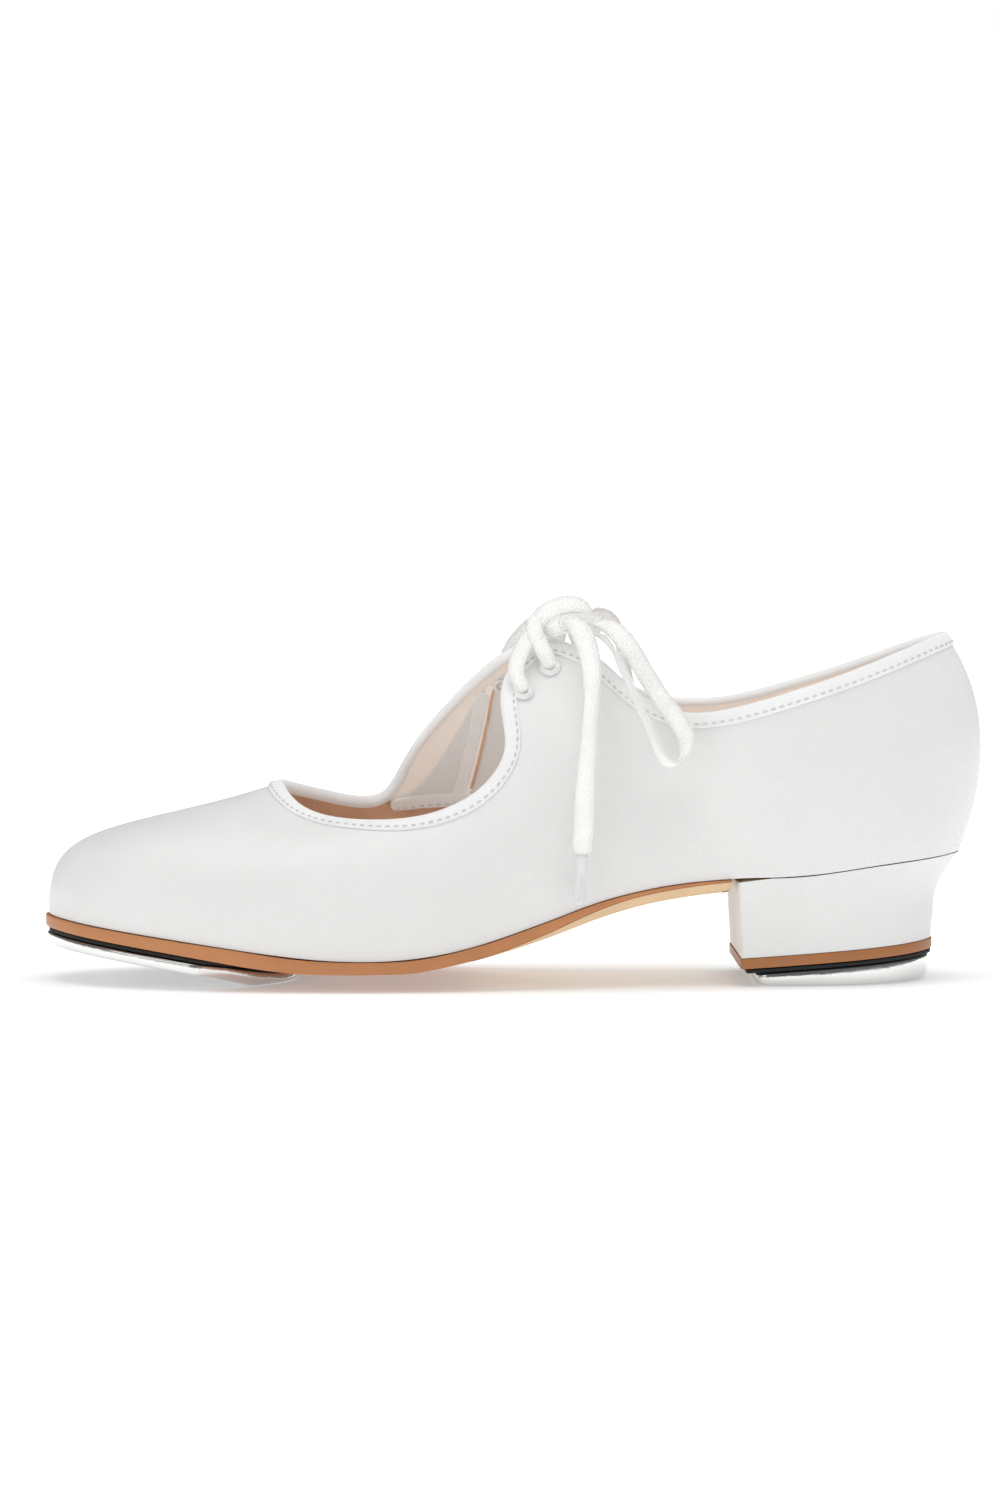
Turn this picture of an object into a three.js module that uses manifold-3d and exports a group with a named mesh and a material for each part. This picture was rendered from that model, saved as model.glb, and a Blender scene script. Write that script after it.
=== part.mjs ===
// Lady's tie tap shoe, left foot, low block heel. Millimetres, +Z up.
// The toe points to -X, the outer (lateral) side of the foot is -Y, and the taps rest on z = 0.
import * as THREE from 'three';
import { mergeVertices } from 'three/addons/utils/BufferGeometryUtils.js';
import Module from 'manifold-3d';

// ---- Driving dimensions ----
const LENGTH_SCALE = 1;            // stretches the whole last lengthways
const WIDTH_SCALE = 1;             // stretches the last sideways
const UPPER_WALL = 1.2;            // coated fabric of the upper
const STIFFENER_WALL = 0.6;        // toe puff and heel counter
const LINING_WALL = 0.7;
const FACING_WALL = 0.6;           // white stay behind the eyelets
const BINDING_WALL = 0.7;          // tape folded over the whole top edge
const BINDING_DEPTH = 3.6;         // how far the tape reaches down each side
const FIT_GAP = 0.3;               // clearance between neighbouring layers
const LASTING_MARGIN = 9;          // how far the upper turns in under the insole
const SOLE_EDGE_PROUD = 0.9;       // the sole stands out past the upper
const INSOLE_WALL = 2;
const SOCK_WALL = 1.2;
const FILLER_WALL = 0.9;
const SHANK_WIDTH = 11;
const TOPLIFT_WALL = 2.6;
const SOUND_BOARD_WALL = 0.9;      // fibre board between a tap and the sole
const TOE_TAP_WALL = 3;
const TAP_THICKENING = 0.14;       // extra thickness per millimetre behind the tap's corners
const TAP_INSET = -0.5;            // from the upper's outline in to the tap; the sole is at -0.9
const BOARD_INSET = 0;             // from the upper's outline in to the toe sound board
const HEEL_COVER_WALL = 0.8;
const EYELET_FLANGE_RADIUS = 3;
const EYELET_BARREL_RADIUS = 1.9;
const EYELET_BORE_RADIUS = 1.4;
const SCREW_HEAD_RADIUS = 2.6;
const SCREW_SHANK_RADIUS = 1.1;
const SCREW_LENGTH = 6.5;
const LACE_WIDTH = 6.6;
const LACE_WALL = 1.1;
const AGLET_RADIUS = 1.5;
const AGLET_LENGTH = 13;

// ---- Small helpers ----
const UP = new THREE.Vector3(0, 0, 1);
const vec = (x, y, z) => new THREE.Vector3(x, y, z);
const place = (x, y, z) => vec(x * LENGTH_SCALE, y * WIDTH_SCALE, z);
const smooth = (a, b, x) => THREE.MathUtils.smoothstep(x, a, b);
const lerp = THREE.MathUtils.lerp;

// Height as a function of length, through given points, with rounded joints.
function heightCurve(points) {
  const slope = points.map((p, i) => {
    const before = points[Math.max(i - 1, 0)];
    const after = points[Math.min(i + 1, points.length - 1)];
    return (after[1] - before[1]) / (after[0] - before[0]);
  });
  return (x) => {
    let k = 0;
    while (k < points.length - 2 && x > points[k + 1][0]) k += 1;
    const [x0, z0] = points[k];
    const [x1, z1] = points[k + 1];
    const width = x1 - x0;
    const f = THREE.MathUtils.clamp((x - x0) / width, 0, 1);
    const g = 1 - f;
    return z0 * g * g * (1 + 2 * f) + z1 * f * f * (1 + 2 * g)
      + width * f * g * (slope[k] * g - slope[k + 1] * f);
  };
}

// Closed curve with continuous curvature through the given points.
function closedCurve(points) {
  const n = points.length;
  const at = (list, i) => list[((i % n) + n) % n];
  const poles = points.map((p) => p.clone());
  for (let pass = 0; pass < 40; pass += 1) {
    for (let i = 0; i < n; i += 1) {
      poles[i].copy(points[i]).multiplyScalar(6)
        .sub(at(poles, i - 1)).sub(at(poles, i + 1)).divideScalar(4);
    }
  }
  return (u) => {
    const s = u * n;
    const k = Math.floor(s);
    const f = s - k;
    const g = 1 - f;
    const weights = [g * g * g, 3 * f * f * f - 6 * f * f + 4,
      -3 * f * f * f + 3 * f * f + 3 * f + 1, f * f * f];
    const point = vec(0, 0, 0);
    weights.forEach((w, i) => point.addScaledVector(at(poles, k - 1 + i), w / 6));
    return point;
  };
}

// Heights of the feather line (where upper meets sole) and of the sole's underside.
const featherZ = heightCurve([[-125, 17.6], [-101, 14.5], [-75, 11.1], [-57, 8.7], [-40, 8.0],
  [-25, 8.8], [-9, 12.3], [7, 17.6], [23, 23.2], [40, 26.9], [58, 28.6], [76, 29.3], [97, 32],
  [120, 34.3]].map(([x, z]) => [x * LENGTH_SCALE, z]));
const soleZ = heightCurve([[-126, 14.3], [-101, 10.9], [-81, 7.9], [-68, 5.9], [-56, 4.7],
  [-33, 4.6], [-25, 5.2], [-9, 8.6], [7, 13.3], [23, 18.9], [35, 22.1], [47, 24.1],
  [59, 25.4]].map(([x, z]) => [x * LENGTH_SCALE, z]));

// Stations round the shoe. Each row gives the foot of the wall (x, y), the rim above it
// (x, y, z), how far the wall swells out and how high it rises before it turns in, and the
// direction in which it arrives at the rim (x, y, z, measured back from the rim).
const OUTER_SIDE = [
  [-124.2, 4, -61.8, 1, 52.6, 1.5, 27, -42, 0.5, -15],
  [-118, -13.5, -60, -8, 49.9, 2, 25, -32, -13, -11],
  [-105, -25.5, -55.5, -15.5, 46.4, 2.5, 22, -20, -15, -8],
  [-87, -33.5, -48.5, -21.5, 44.4, 3, 19, -10, -15, -8],
  [-68, -38, -40, -25.5, 43.8, 3, 17, -6, -13, -8],
  [-50, -40, -31, -27.8, 44.2, 3, 16, -4, -11, -10],
  [-33, -40.3, -21.5, -28.6, 46, 2.5, 16, -3, -9, -12],
  [-18, -39.2, -12, -28.6, 50.3, 2, 17, 3, -7, -13],
  [-6, -37.5, -5.4, -27.6, 56.5, 1.5, 18, 8, -6, -10],
  [3, -36, -2.4, -25.1, 63.5, 1, 20, 10, -5, -8],
  [10, -34.7, -2.9, -20.8, 71.2, 1, 22, 12, -5, -7],
  [16, -33.4, -3, -15.2, 78.6, 1, 24, 12, -7, -8],
  [22, -32.2, 1, -8.7, 85.6, 1, 25, 8, -9, -10],
  [28, -31, 8.6, -5.4, 89.8, 1, 26, 2, -12, -13],
  [34, -30, 16.2, -7.8, 88.6, 1, 25, -3, -11, -13],
  [40, -29.2, 23.3, -12.4, 85, 1, 24, -5, -8, -14],
  [46, -28.5, 29.7, -17.6, 79.2, 1, 22, -5, -7, -14],
  [52, -28.1, 37.2, -21.8, 74.2, 1, 19, -3, -5, -14],
  [60, -28, 47, -24, 71.8, 1.5, 16, -1, -5, -15],
  [70, -28.2, 60, -24.4, 73.7, 2, 16, 1, -5, -16],
  [82, -28, 74, -23.6, 77.7, 2.5, 17, 2, -6, -17],
  [95, -26.2, 87, -21.6, 82, 3, 17, 5, -6, -18],
  [107.5, -20.5, 100, -16.6, 86.8, 4, 17, 9, -5, -18],
  [116, -11, 110.6, -9.2, 90.8, 6, 17, 12, -3, -18],
];
const BACK = [119.5, 0, 115.4, 0, 92.3, 7.5, 18, 13.5, 0, -18];
const INNER_SIDE = [
  [-117, 21, -59, 9.5, 51.6, 2, 25, -30, 14, -10],
  [-103, 30, -53.5, 16.6, 49.8, 2.5, 22, -18, 15, -8],
  [-86, 36, -46.6, 21.6, 47.9, 3, 20, -9, 14, -8],
  [-68, 39.2, -39.4, 24.4, 46.8, 3, 18, -5, 12, -8],
  [-51, 39, -34, 25.6, 48.6, 3, 17, 3, 10, -12],
  [-36, 36.4, -30.4, 25.8, 54, 2.5, 17, 8, 8, -11],
  [-23, 33, -26.6, 24.9, 60.6, 2, 18, 9, 7, -11],
  [-11, 29.9, -21.4, 22.4, 67.6, 1.5, 20, 10, 8, -10],
  [-2, 28, -15.4, 18.6, 74.4, 1, 22, 10, 9, -10],
  [6, 26.4, -9, 14, 81, 1, 24, 9, 11, -10],
  [13.5, 25.2, -2, 9, 86.6, 1, 25, 7, 13, -12],
  [20.5, 24.6, 7, 5.8, 90.2, 1, 26, 3, 13, -13],
  [27.5, 24.4, 15, 7.6, 89, 1, 25, -3, 12, -13],
  [34.5, 24.4, 22.4, 11.8, 85.2, 1, 24, -4, 9, -14],
  [41, 24.6, 29, 16.4, 79.8, 1, 22, -4, 7, -15],
  [48, 25.1, 36.6, 20.4, 75.4, 1, 19, -2, 5, -15],
  [57, 25.8, 46.6, 22.4, 73.6, 1.5, 16, 1, 5, -15],
  [68, 26.6, 59, 22.6, 74.2, 2, 16, 1, 5, -16],
  [81, 26.8, 73, 22, 77.6, 2.5, 17, 2, 6, -17],
  [94, 25.4, 86.6, 20.4, 81.8, 3, 17, 5, 6, -18],
  [107, 20.4, 99.8, 15.9, 86.6, 4, 17, 9, 5, -18],
  [116, 11, 110.6, 9, 90.8, 6, 17, 12, 3, -18],
];
const STATIONS = [...OUTER_SIDE, BACK, ...INNER_SIDE.slice().reverse()];
const OUTER_COUNT = OUTER_SIDE.length;

const footPoints = STATIONS.map(([x, y]) => place(x, y, featherZ(x * LENGTH_SCALE)));
const rimPoints = STATIONS.map((s) => place(s[2], s[3], s[4]));
const lowPoints = STATIONS.map((s, i) => {
  const n = STATIONS.length;
  const along = footPoints[(i + 1) % n].clone().sub(footPoints[(i + n - 1) % n]).setZ(0);
  const outward = along.normalize().cross(UP);
  return footPoints[i].clone().addScaledVector(outward, s[5]).addScaledVector(UP, s[6]);
});
const highPoints = STATIONS.map((s, i) => rimPoints[i].clone().add(place(s[7], s[8], s[9])));
const footCurve = closedCurve(footPoints);
const rails = [footCurve, closedCurve(lowPoints), closedCurve(highPoints), closedCurve(rimPoints)];

// A point on the outside of the upper: u runs round the shoe from the toe by the outer side,
// t runs from the feather line (0) to the rim (1).
function wallPoint(u, t) {
  const s = 1 - t;
  const weights = [s * s * s, 3 * s * s * t, 3 * s * t * t, t * t * t];
  const point = vec(0, 0, 0);
  weights.forEach((w, i) => point.addScaledVector(rails[i](u), w));
  return point;
}

function wallFrame(u, t) {
  const step = 1e-3;
  const round = wallPoint(u + step, t).sub(wallPoint(u - step, t)).divideScalar(2 * step);
  const up = wallPoint(u, t + step).sub(wallPoint(u, t - step)).divideScalar(2 * step);
  return { point: wallPoint(u, t), round, up, normal: round.clone().cross(up).normalize() };
}

// All layers of the wall share one grid, so that their facets stay parallel: columns round the
// shoe, and rows up to the binding's lower edge, with one more just under the rim.
const COLUMNS = 60;
const ROWS = 6;
const RIM_TRIM = 0.5;
function heightAt(u, down) {
  return 1 - down / wallFrame(u, 1).up.length();
}
function gridPlace(column, row) {
  const u = column / COLUMNS;
  if (row > ROWS - 1) return [u, heightAt(u, lerp(BINDING_DEPTH, RIM_TRIM, row - ROWS + 1))];
  return [u, (heightAt(u, BINDING_DEPTH) * row) / (ROWS - 1)];
}

// ---- Solids from grids ----
function meshFrom(points, faces) {
  const geometry = new THREE.BufferGeometry();
  geometry.setAttribute('position',
    new THREE.Float32BufferAttribute(points.flatMap((p) => [p.x, p.y, p.z]), 3));
  geometry.setIndex(faces.flat());
  return geometry;
}

// Skin a list of closed sections, each a ring of points counted the same way round.
// Open: the first and last are filled. Closed: the last section joins the first. falling(j)
// says which sides of the ring run down the wall, so that their facets are split the same way
// as those of the side that runs up.
function skin(sections, closed = false, falling = () => false) {
  const n = sections[0].length;
  const rows = sections.length;
  const points = sections.flat();
  const faces = [];
  const last = closed ? rows : rows - 1;
  for (let i = 0; i < last; i += 1) {
    const next = (i + 1) % rows;
    for (let j = 0; j < n; j += 1) {
      const k = (j + 1) % n;
      const [a, b, c, d] = [i * n + j, next * n + j, next * n + k, i * n + k];
      if (falling(j)) faces.push([a, b, d], [b, c, d]);
      else faces.push([a, b, c], [a, c, d]);
    }
  }
  if (!closed) {
    [0, rows - 1].forEach((row) => {
      for (let j = 0; 2 * j < n - 2; j += 1) {
        const [a, b, c, d] = [j, j + 1, n - 2 - j, n - 1 - j].map((k) => row * n + k);
        const cap = b === c ? [[a, b, d]] : [[a, b, c], [a, c, d]];
        faces.push(...(row === 0 ? cap : cap.map((face) => face.reverse())));
      }
    });
  }
  return outward(meshFrom(points, faces));
}

// Turn a closed solid's faces outwards if its signed volume is negative.
function outward(geometry) {
  const position = geometry.attributes.position;
  const index = geometry.index.array;
  const corner = [vec(0, 0, 0), vec(0, 0, 0), vec(0, 0, 0)];
  let volume = 0;
  for (let i = 0; i < index.length; i += 3) {
    corner.forEach((c, k) => c.fromBufferAttribute(position, index[i + k]));
    volume += corner[0].dot(corner[1].clone().cross(corner[2]));
  }
  if (volume < 0) {
    for (let i = 0; i < index.length; i += 3) {
      [index[i + 1], index[i + 2]] = [index[i + 2], index[i + 1]];
    }
  }
  geometry.computeVertexNormals();
  return geometry;
}

// Wall layer over a range of grid columns and rows. depth(column, row) is the layer's outer
// face, measured inwards from the outside of the upper. A margin turns its foot in.
function wallLayer({ from = 0, to = COLUMNS, low = 0, high = ROWS, depth, wall, margin = 0 }) {
  const whole = to - from >= COLUMNS;
  const sections = [];
  for (let column = from; column < to + (whole ? 0 : 1); column += 1) {
    const outer = [];
    const inner = [];
    const rows = [];
    for (let row = low; row < high; row += 1) rows.push(row);
    rows.push(high);
    rows.forEach((row) => {
      const { point, normal } = wallFrame(...gridPlace(column, row));
      const d = depth(column, row);
      outer.push(point.clone().addScaledVector(normal, -d));
      inner.push(point.clone().addScaledVector(normal, -d - wall));
    });
    if (margin > 0) {
      const u = column / COLUMNS;
      const inwards = UP.clone().cross(wallFrame(u, 0).round).setZ(0).normalize();
      const foot = footCurve(u);
      const tucked = foot.clone().addScaledVector(inwards, margin);
      tucked.z = featherZ(tucked.x);
      outer[0] = foot.clone().addScaledVector(inwards, 0.2 * wall);
      outer.unshift(tucked);
      inner[0] = foot.clone().addScaledVector(inwards, wall).setZ(foot.z + wall);
      inner.unshift(tucked.clone().setZ(tucked.z + wall));
    }
    sections.push([...outer, ...inner.reverse()]);
  }
  return skin(sections, whole, (j) => j >= sections[0].length / 2);
}

// Plan outline of the shoe, moved in by a distance, as left and right limits at a length x.
const OUTLINE_STEPS = 360;
function outlineInset(inset) {
  const points = [];
  for (let i = 0; i < OUTLINE_STEPS; i += 1) {
    const u = i / OUTLINE_STEPS;
    const along = footCurve(u + 1e-3).sub(footCurve(u - 1e-3)).setZ(0).normalize();
    points.push(footCurve(u).addScaledVector(UP.clone().cross(along), inset));
  }
  return points;
}

function limitsAt(outline, x) {
  let low = Infinity;
  let high = -Infinity;
  outline.forEach((p, i) => {
    const q = outline[(i + 1) % outline.length];
    if ((p.x - x) * (q.x - x) <= 0 && p.x !== q.x) {
      const y = lerp(p.y, q.y, (x - p.x) / (q.x - p.x));
      low = Math.min(low, y);
      high = Math.max(high, y);
    }
  });
  return [low, high];
}

// Plate that follows the shoe's length: sections across it at lengths from x0 to x1, closer
// together at the rounded ends.
function plate({ x0, x1, steps, limits, top, bottom }) {
  const sections = [];
  for (let i = 0; i <= steps; i += 1) {
    const x = lerp(x0, x1, 0.5 - 0.5 * Math.cos((Math.PI * i) / steps));
    const [low, high] = limits(x);
    sections.push([vec(x, low, bottom(x)), vec(x, high, bottom(x)),
      vec(x, high, top(x)), vec(x, low, top(x))]);
  }
  return skin(sections);
}

function insetPlate({ inset, x0, x1, steps, top, bottom }) {
  const outline = outlineInset(inset);
  const xs = outline.map((p) => p.x);
  const start = Math.max(x0 ?? -Infinity, Math.min(...xs) + 0.15);
  const end = Math.min(x1 ?? Infinity, Math.max(...xs) - 0.15);
  return plate({ x0: start, x1: end, steps, limits: (x) => limitsAt(outline, x), top, bottom });
}

// ---- Solid cutting ----
const wasm = await Module();
wasm.setup();

function toSolid(geometry) {
  const bare = geometry.index ? geometry.toNonIndexed() : geometry.clone();
  bare.deleteAttribute('normal');
  bare.deleteAttribute('uv');
  const merged = mergeVertices(bare, 1e-4);
  return new wasm.Manifold(new wasm.Mesh({
    numProp: 3,
    vertProperties: new Float32Array(merged.attributes.position.array),
    triVerts: new Uint32Array(merged.index.array),
  }));
}

function fromSolid(solid) {
  const mesh = solid.getMesh();
  const geometry = new THREE.BufferGeometry();
  geometry.setAttribute('position', new THREE.BufferAttribute(mesh.vertProperties, 3));
  geometry.setIndex(new THREE.BufferAttribute(mesh.triVerts, 1));
  geometry.computeVertexNormals();
  return geometry;
}

const cut = (geometry, tools) => fromSolid(
  tools.reduce((solid, tool) => solid.subtract(toSolid(tool)), toSolid(geometry)));

// Cylinder from one point to another.
function rod(start, end, radius, sides = 16) {
  const along = end.clone().sub(start);
  const geometry = new THREE.CylinderGeometry(radius, radius, along.length(), sides);
  geometry.applyQuaternion(
    new THREE.Quaternion().setFromUnitVectors(vec(0, 1, 0), along.normalize()));
  const middle = start.clone().add(end).multiplyScalar(0.5);
  return geometry.translate(middle.x, middle.y, middle.z);
}

// Turned piece: profile of [radius, height], its axis set along a direction at a point.
function turned(profile, point, axis, sides = 12) {
  const geometry = new THREE.LatheGeometry(profile.map(([r, h]) => new THREE.Vector2(r, h)), sides);
  geometry.deleteAttribute('normal');
  geometry.deleteAttribute('uv');
  const merged = mergeVertices(geometry, 1e-4);
  merged.applyQuaternion(new THREE.Quaternion().setFromUnitVectors(vec(0, 1, 0), axis));
  merged.translate(point.x, point.y, point.z);
  return outward(merged);
}

// ---- Finishes ----
const finish = (color, roughness, metalness = 0) => (
  new THREE.MeshStandardMaterial({ color, roughness, metalness }));
const WHITE_UPPER = finish('#f1f1ef', 0.42);
const WHITE_TAPE = finish('#f4f4f2', 0.5);
const TAN_LINING = finish('#c98b62', 0.8);
const CREAM_LINING = finish('#e4d2ba', 0.8);
const STIFF_FIBRE = finish('#cfc8bb', 0.9);
const TAN_SOLE = finish('#c98a5c', 0.6);
const LIFT_TAN = finish('#c78850', 0.6);
const BLACK_BOARD = finish('#23262a', 0.8);
const FILLER_CORK = finish('#a8835a', 0.95);
const HEEL_WOOD = finish('#d8bd92', 0.8);
const TAP_METAL = finish('#d9dadb', 0.18, 1);
const STEEL = finish('#a9acb0', 0.35, 1);
const EYELET_ENAMEL = finish('#f3f3f1', 0.3);
const LACE_WHITE = finish('#f2f2ee', 0.8);
const AGLET_CLEAR = finish('#eceef0', 0.25);

const shoe = new THREE.Group();
function add(name, geometry, material) {
  const mesh = new THREE.Mesh(geometry, material);
  mesh.name = name;
  shoe.add(mesh);
  return mesh;
}

// ---- Wall layers: upper, stiffeners, linings, facings, binding ----
const LAYER_STEP = UPPER_WALL + FIT_GAP;
const STIFFENER_STEP = STIFFENER_WALL + FIT_GAP;
// Column nearest to a share of the way round from the toe.
const columnAt = (share) => Math.round(share * COLUMNS);
const TOE_PUFF = { from: columnAt(-0.105), to: columnAt(0.105), low: 1, high: 3 };
const COUNTER = { from: columnAt(0.41), to: columnAt(0.59), low: 1, high: 3 };
const VAMP = { from: columnAt(-0.145), to: columnAt(0.185), low: 1 };
const QUARTER = { from: VAMP.to, to: COLUMNS + VAMP.from, low: 1 };

const covers = (piece, column, row) => (
  column >= piece.from && column <= piece.to && row >= piece.low && row <= piece.high);
const swell = ({ from, to, low, high }) => (
  { from: from - 1, to: to + 1, low: low - 1, high: high + 1 });
const liningDepth = (column, row) => LAYER_STEP
  + ([TOE_PUFF, COUNTER].some((p) => covers(swell(p), column, row)) ? STIFFENER_STEP : 0);

// Nearest wall place to a given length and height, on one side of the shoe.
function findOnWall(x, z, uLow, uHigh) {
  let best = { miss: Infinity };
  for (let i = 0; i <= 80; i += 1) {
    for (let j = 0; j <= 60; j += 1) {
      const u = lerp(uLow, uHigh, i / 80);
      const t = 0.4 + 0.6 * (j / 60);
      const p = wallPoint(u, t);
      const miss = Math.hypot(p.x - x, p.z - z);
      if (miss < best.miss) best = { miss, u, t };
    }
  }
  return wallFrame(best.u, best.t);
}

const U = (station) => station / STATIONS.length;
const OUTER_TAB = [U(8), U(17)];
const INNER_TAB = [U(OUTER_COUNT + 7), U(OUTER_COUNT + 17)];
const EYELETS = [
  { name: 'eyelet_outer_front', side: 'outer', ...findOnWall(2, 77.4, ...OUTER_TAB) },
  { name: 'eyelet_outer_rear', side: 'outer', ...findOnWall(9.6, 83.6, ...OUTER_TAB) },
  { name: 'eyelet_inner_front', side: 'inner', ...findOnWall(-2.2, 79.4, ...INNER_TAB) },
  { name: 'eyelet_inner_rear', side: 'inner', ...findOnWall(7, 84.2, ...INNER_TAB) },
];
const WALL_STACK = UPPER_WALL + LINING_WALL + FACING_WALL + 2 * FIT_GAP;
const eyeletHole = ({ point, normal }) => rod(
  point.clone().addScaledVector(normal, 3),
  point.clone().addScaledVector(normal, -WALL_STACK - 3),
  EYELET_BARREL_RADIUS + FIT_GAP, 12);
const eyeletHoles = (side) => EYELETS.filter((e) => e.side === side).map(eyeletHole);

function makeUpper() {
  const shell = wallLayer({ depth: () => 0, wall: UPPER_WALL, margin: LASTING_MARGIN });
  add('upper', cut(shell, [...eyeletHoles('outer'), ...eyeletHoles('inner')]), WHITE_UPPER);
}

function makeLinings() {
  add('vamp_lining', wallLayer({ ...VAMP, depth: liningDepth, wall: LINING_WALL }), TAN_LINING);
  const quarter = wallLayer({ ...QUARTER, depth: liningDepth, wall: LINING_WALL });
  add('quarter_lining', cut(quarter, [...eyeletHoles('outer'), ...eyeletHoles('inner')]),
    CREAM_LINING);
}

function makeStiffeners() {
  const depth = () => LAYER_STEP;
  add('toe_puff', wallLayer({ ...TOE_PUFF, depth, wall: STIFFENER_WALL }), STIFF_FIBRE);
  add('heel_counter', wallLayer({ ...COUNTER, depth, wall: STIFFENER_WALL }), STIFF_FIBRE);
}

// White stay glued inside each tab, behind the eyelets.
function makeFacings() {
  const depth = () => LAYER_STEP + LINING_WALL + FIT_GAP;
  [['outer', 0.21, 0.345], ['inner', 0.665, 0.83]].forEach(([side, start, end]) => {
    const [from, to] = [columnAt(start), columnAt(end)];
    const stay = wallLayer({
      from, to, low: ROWS - 3, high: ROWS - 1, depth, wall: FACING_WALL,
    });
    add(`tab_facing_${side}`, cut(stay, eyeletHoles(side)), WHITE_UPPER);
  });
}

// Tape folded over the top edge all the way round the opening.
function makeBinding() {
  const crown = BINDING_WALL + FIT_GAP;
  const inside = -(LAYER_STEP + LINING_WALL + FIT_GAP);
  const sections = [];
  for (let column = 0; column < COLUMNS; column += 1) {
    const frameAt = (row) => wallFrame(...gridPlace(column, row));
    const edge = frameAt(ROWS);
    const upwards = edge.up.clone().normalize();
    const at = (row, out, lift = 0) => {
      const { point, normal } = frameAt(row);
      return point.clone().addScaledVector(normal, out).addScaledVector(upwards, lift);
    };
    const inner = ROWS - 0.85;
    sections.push([
      at(ROWS - 1, FIT_GAP), at(ROWS - 1, crown), at(ROWS, crown),
      at(ROWS, 0.1, FIT_GAP + BINDING_WALL), at(ROWS, inside + 0.2, FIT_GAP + BINDING_WALL),
      at(ROWS, inside - BINDING_WALL), at(inner, inside - BINDING_WALL), at(inner, inside),
      at(ROWS, inside, FIT_GAP / 2), at(ROWS, FIT_GAP, FIT_GAP / 2),
    ]);
  }
  const clearance = EYELETS.map(({ point, normal }) => rod(
    point.clone().addScaledVector(normal, 4), point.clone().addScaledVector(normal, -8),
    EYELET_FLANGE_RADIUS + FIT_GAP, 12));
  add('edge_binding', cut(skin(sections, true, (j) => j === 5 || j === 9), clearance), WHITE_TAPE);
}

function makeEyelets() {
  const inner = -WALL_STACK - 1.4;
  const profile = [
    [EYELET_BORE_RADIUS, inner], [EYELET_FLANGE_RADIUS - 0.5, inner],
    [EYELET_FLANGE_RADIUS - 0.5, inner + 0.55], [EYELET_BARREL_RADIUS, inner + 0.55],
    [EYELET_BARREL_RADIUS, 0.35], [EYELET_FLANGE_RADIUS, 0.35], [EYELET_FLANGE_RADIUS, 0.7],
    [EYELET_FLANGE_RADIUS - 0.6, 1.1], [EYELET_BORE_RADIUS + 0.3, 1.1],
    [EYELET_BORE_RADIUS, 0.7], [EYELET_BORE_RADIUS, inner],
  ];
  EYELETS.forEach(({ name, point, normal }) => {
    add(name, turned(profile, point, normal), EYELET_ENAMEL);
  });
}

// ---- Bottom: insole, sock, filler, shank, outsole ----
const WALL_INSIDE = UPPER_WALL + STIFFENER_WALL + LINING_WALL + 3 * FIT_GAP + 1;
const insoleBase = (x) => featherZ(x) + UPPER_WALL + FIT_GAP;
const HEEL_BREAST = 58.5 * LENGTH_SCALE;

const HEEL_FIXINGS = [
  { name: 'heel_screw', x: 88, y: 0, radius: 2 },
  { name: 'heel_nail_1', x: 74, y: -12, radius: 0.9 },
  { name: 'heel_nail_2', x: 74, y: 12, radius: 0.9 },
  { name: 'heel_nail_3', x: 100, y: -9, radius: 0.9 },
  { name: 'heel_nail_4', x: 100, y: 9, radius: 0.9 },
].map((f) => ({ ...f, x: f.x * LENGTH_SCALE, y: f.y * WIDTH_SCALE }));
const FIXING_HEAD = 1.8;           // head radius over shank radius, and head thickness below
const FIXING_HEAD_WALL = 1;
const FIXING_LENGTH = 18;

function fixingSolid({ x, y, radius }, grow) {
  const top = insoleBase(x) + INSOLE_WALL - 0.3 + (grow ? 5 : 0);
  const neck = insoleBase(x) + INSOLE_WALL - 0.3 - FIXING_HEAD_WALL - grow;
  const end = insoleBase(x) - FIXING_LENGTH + radius;
  const head = radius * FIXING_HEAD;
  return turned([[0, end - radius - grow], [radius + grow, end - grow], [radius + grow, neck],
    [head + grow, neck], [head + grow, top], [0, top]], vec(x, y, 0), UP, 12);
}

function makeInsole() {
  const holes = HEEL_FIXINGS.map((f) => fixingSolid(f, FIT_GAP));
  const board = insetPlate({
    inset: WALL_INSIDE, steps: 34, bottom: insoleBase,
    top: (x) => insoleBase(x) + INSOLE_WALL,
  });
  add('insole_board', cut(board, holes), STIFF_FIBRE);
  const sockBase = (x) => insoleBase(x) + INSOLE_WALL + FIT_GAP;
  add('sock_lining', insetPlate({
    inset: WALL_INSIDE + 0.3, steps: 34, bottom: sockBase, top: (x) => sockBase(x) + SOCK_WALL,
  }), CREAM_LINING);
}

function makeBottomFilling() {
  add('bottom_filler', insetPlate({
    inset: LASTING_MARGIN + 1, x1: -6 * LENGTH_SCALE, steps: 22,
    bottom: (x) => featherZ(x) + 0.1, top: (x) => featherZ(x) + 0.1 + FILLER_WALL,
  }), FILLER_CORK);
  const end = 70 * LENGTH_SCALE;
  const start = -2 * LENGTH_SCALE;
  const centre = (x) => lerp(-3.5, 0, (x - start) / (end - start)) * WIDTH_SCALE;
  add('shank', plate({
    x0: start, x1: end, steps: 16,
    limits: (x) => [centre(x) - SHANK_WIDTH / 2, centre(x) + SHANK_WIDTH / 2],
    bottom: (x) => featherZ(x) + 0.1, top: (x) => featherZ(x) + 0.1 + FILLER_WALL,
  }), STEEL);
}

// ---- Taps and their screws ----
const TOE_TAP_REAR = -58 * LENGTH_SCALE;
const TOE_TAP_CORNER = -81 * LENGTH_SCALE;
const TAP_SPREAD = 33 * WIDTH_SCALE;

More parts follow.
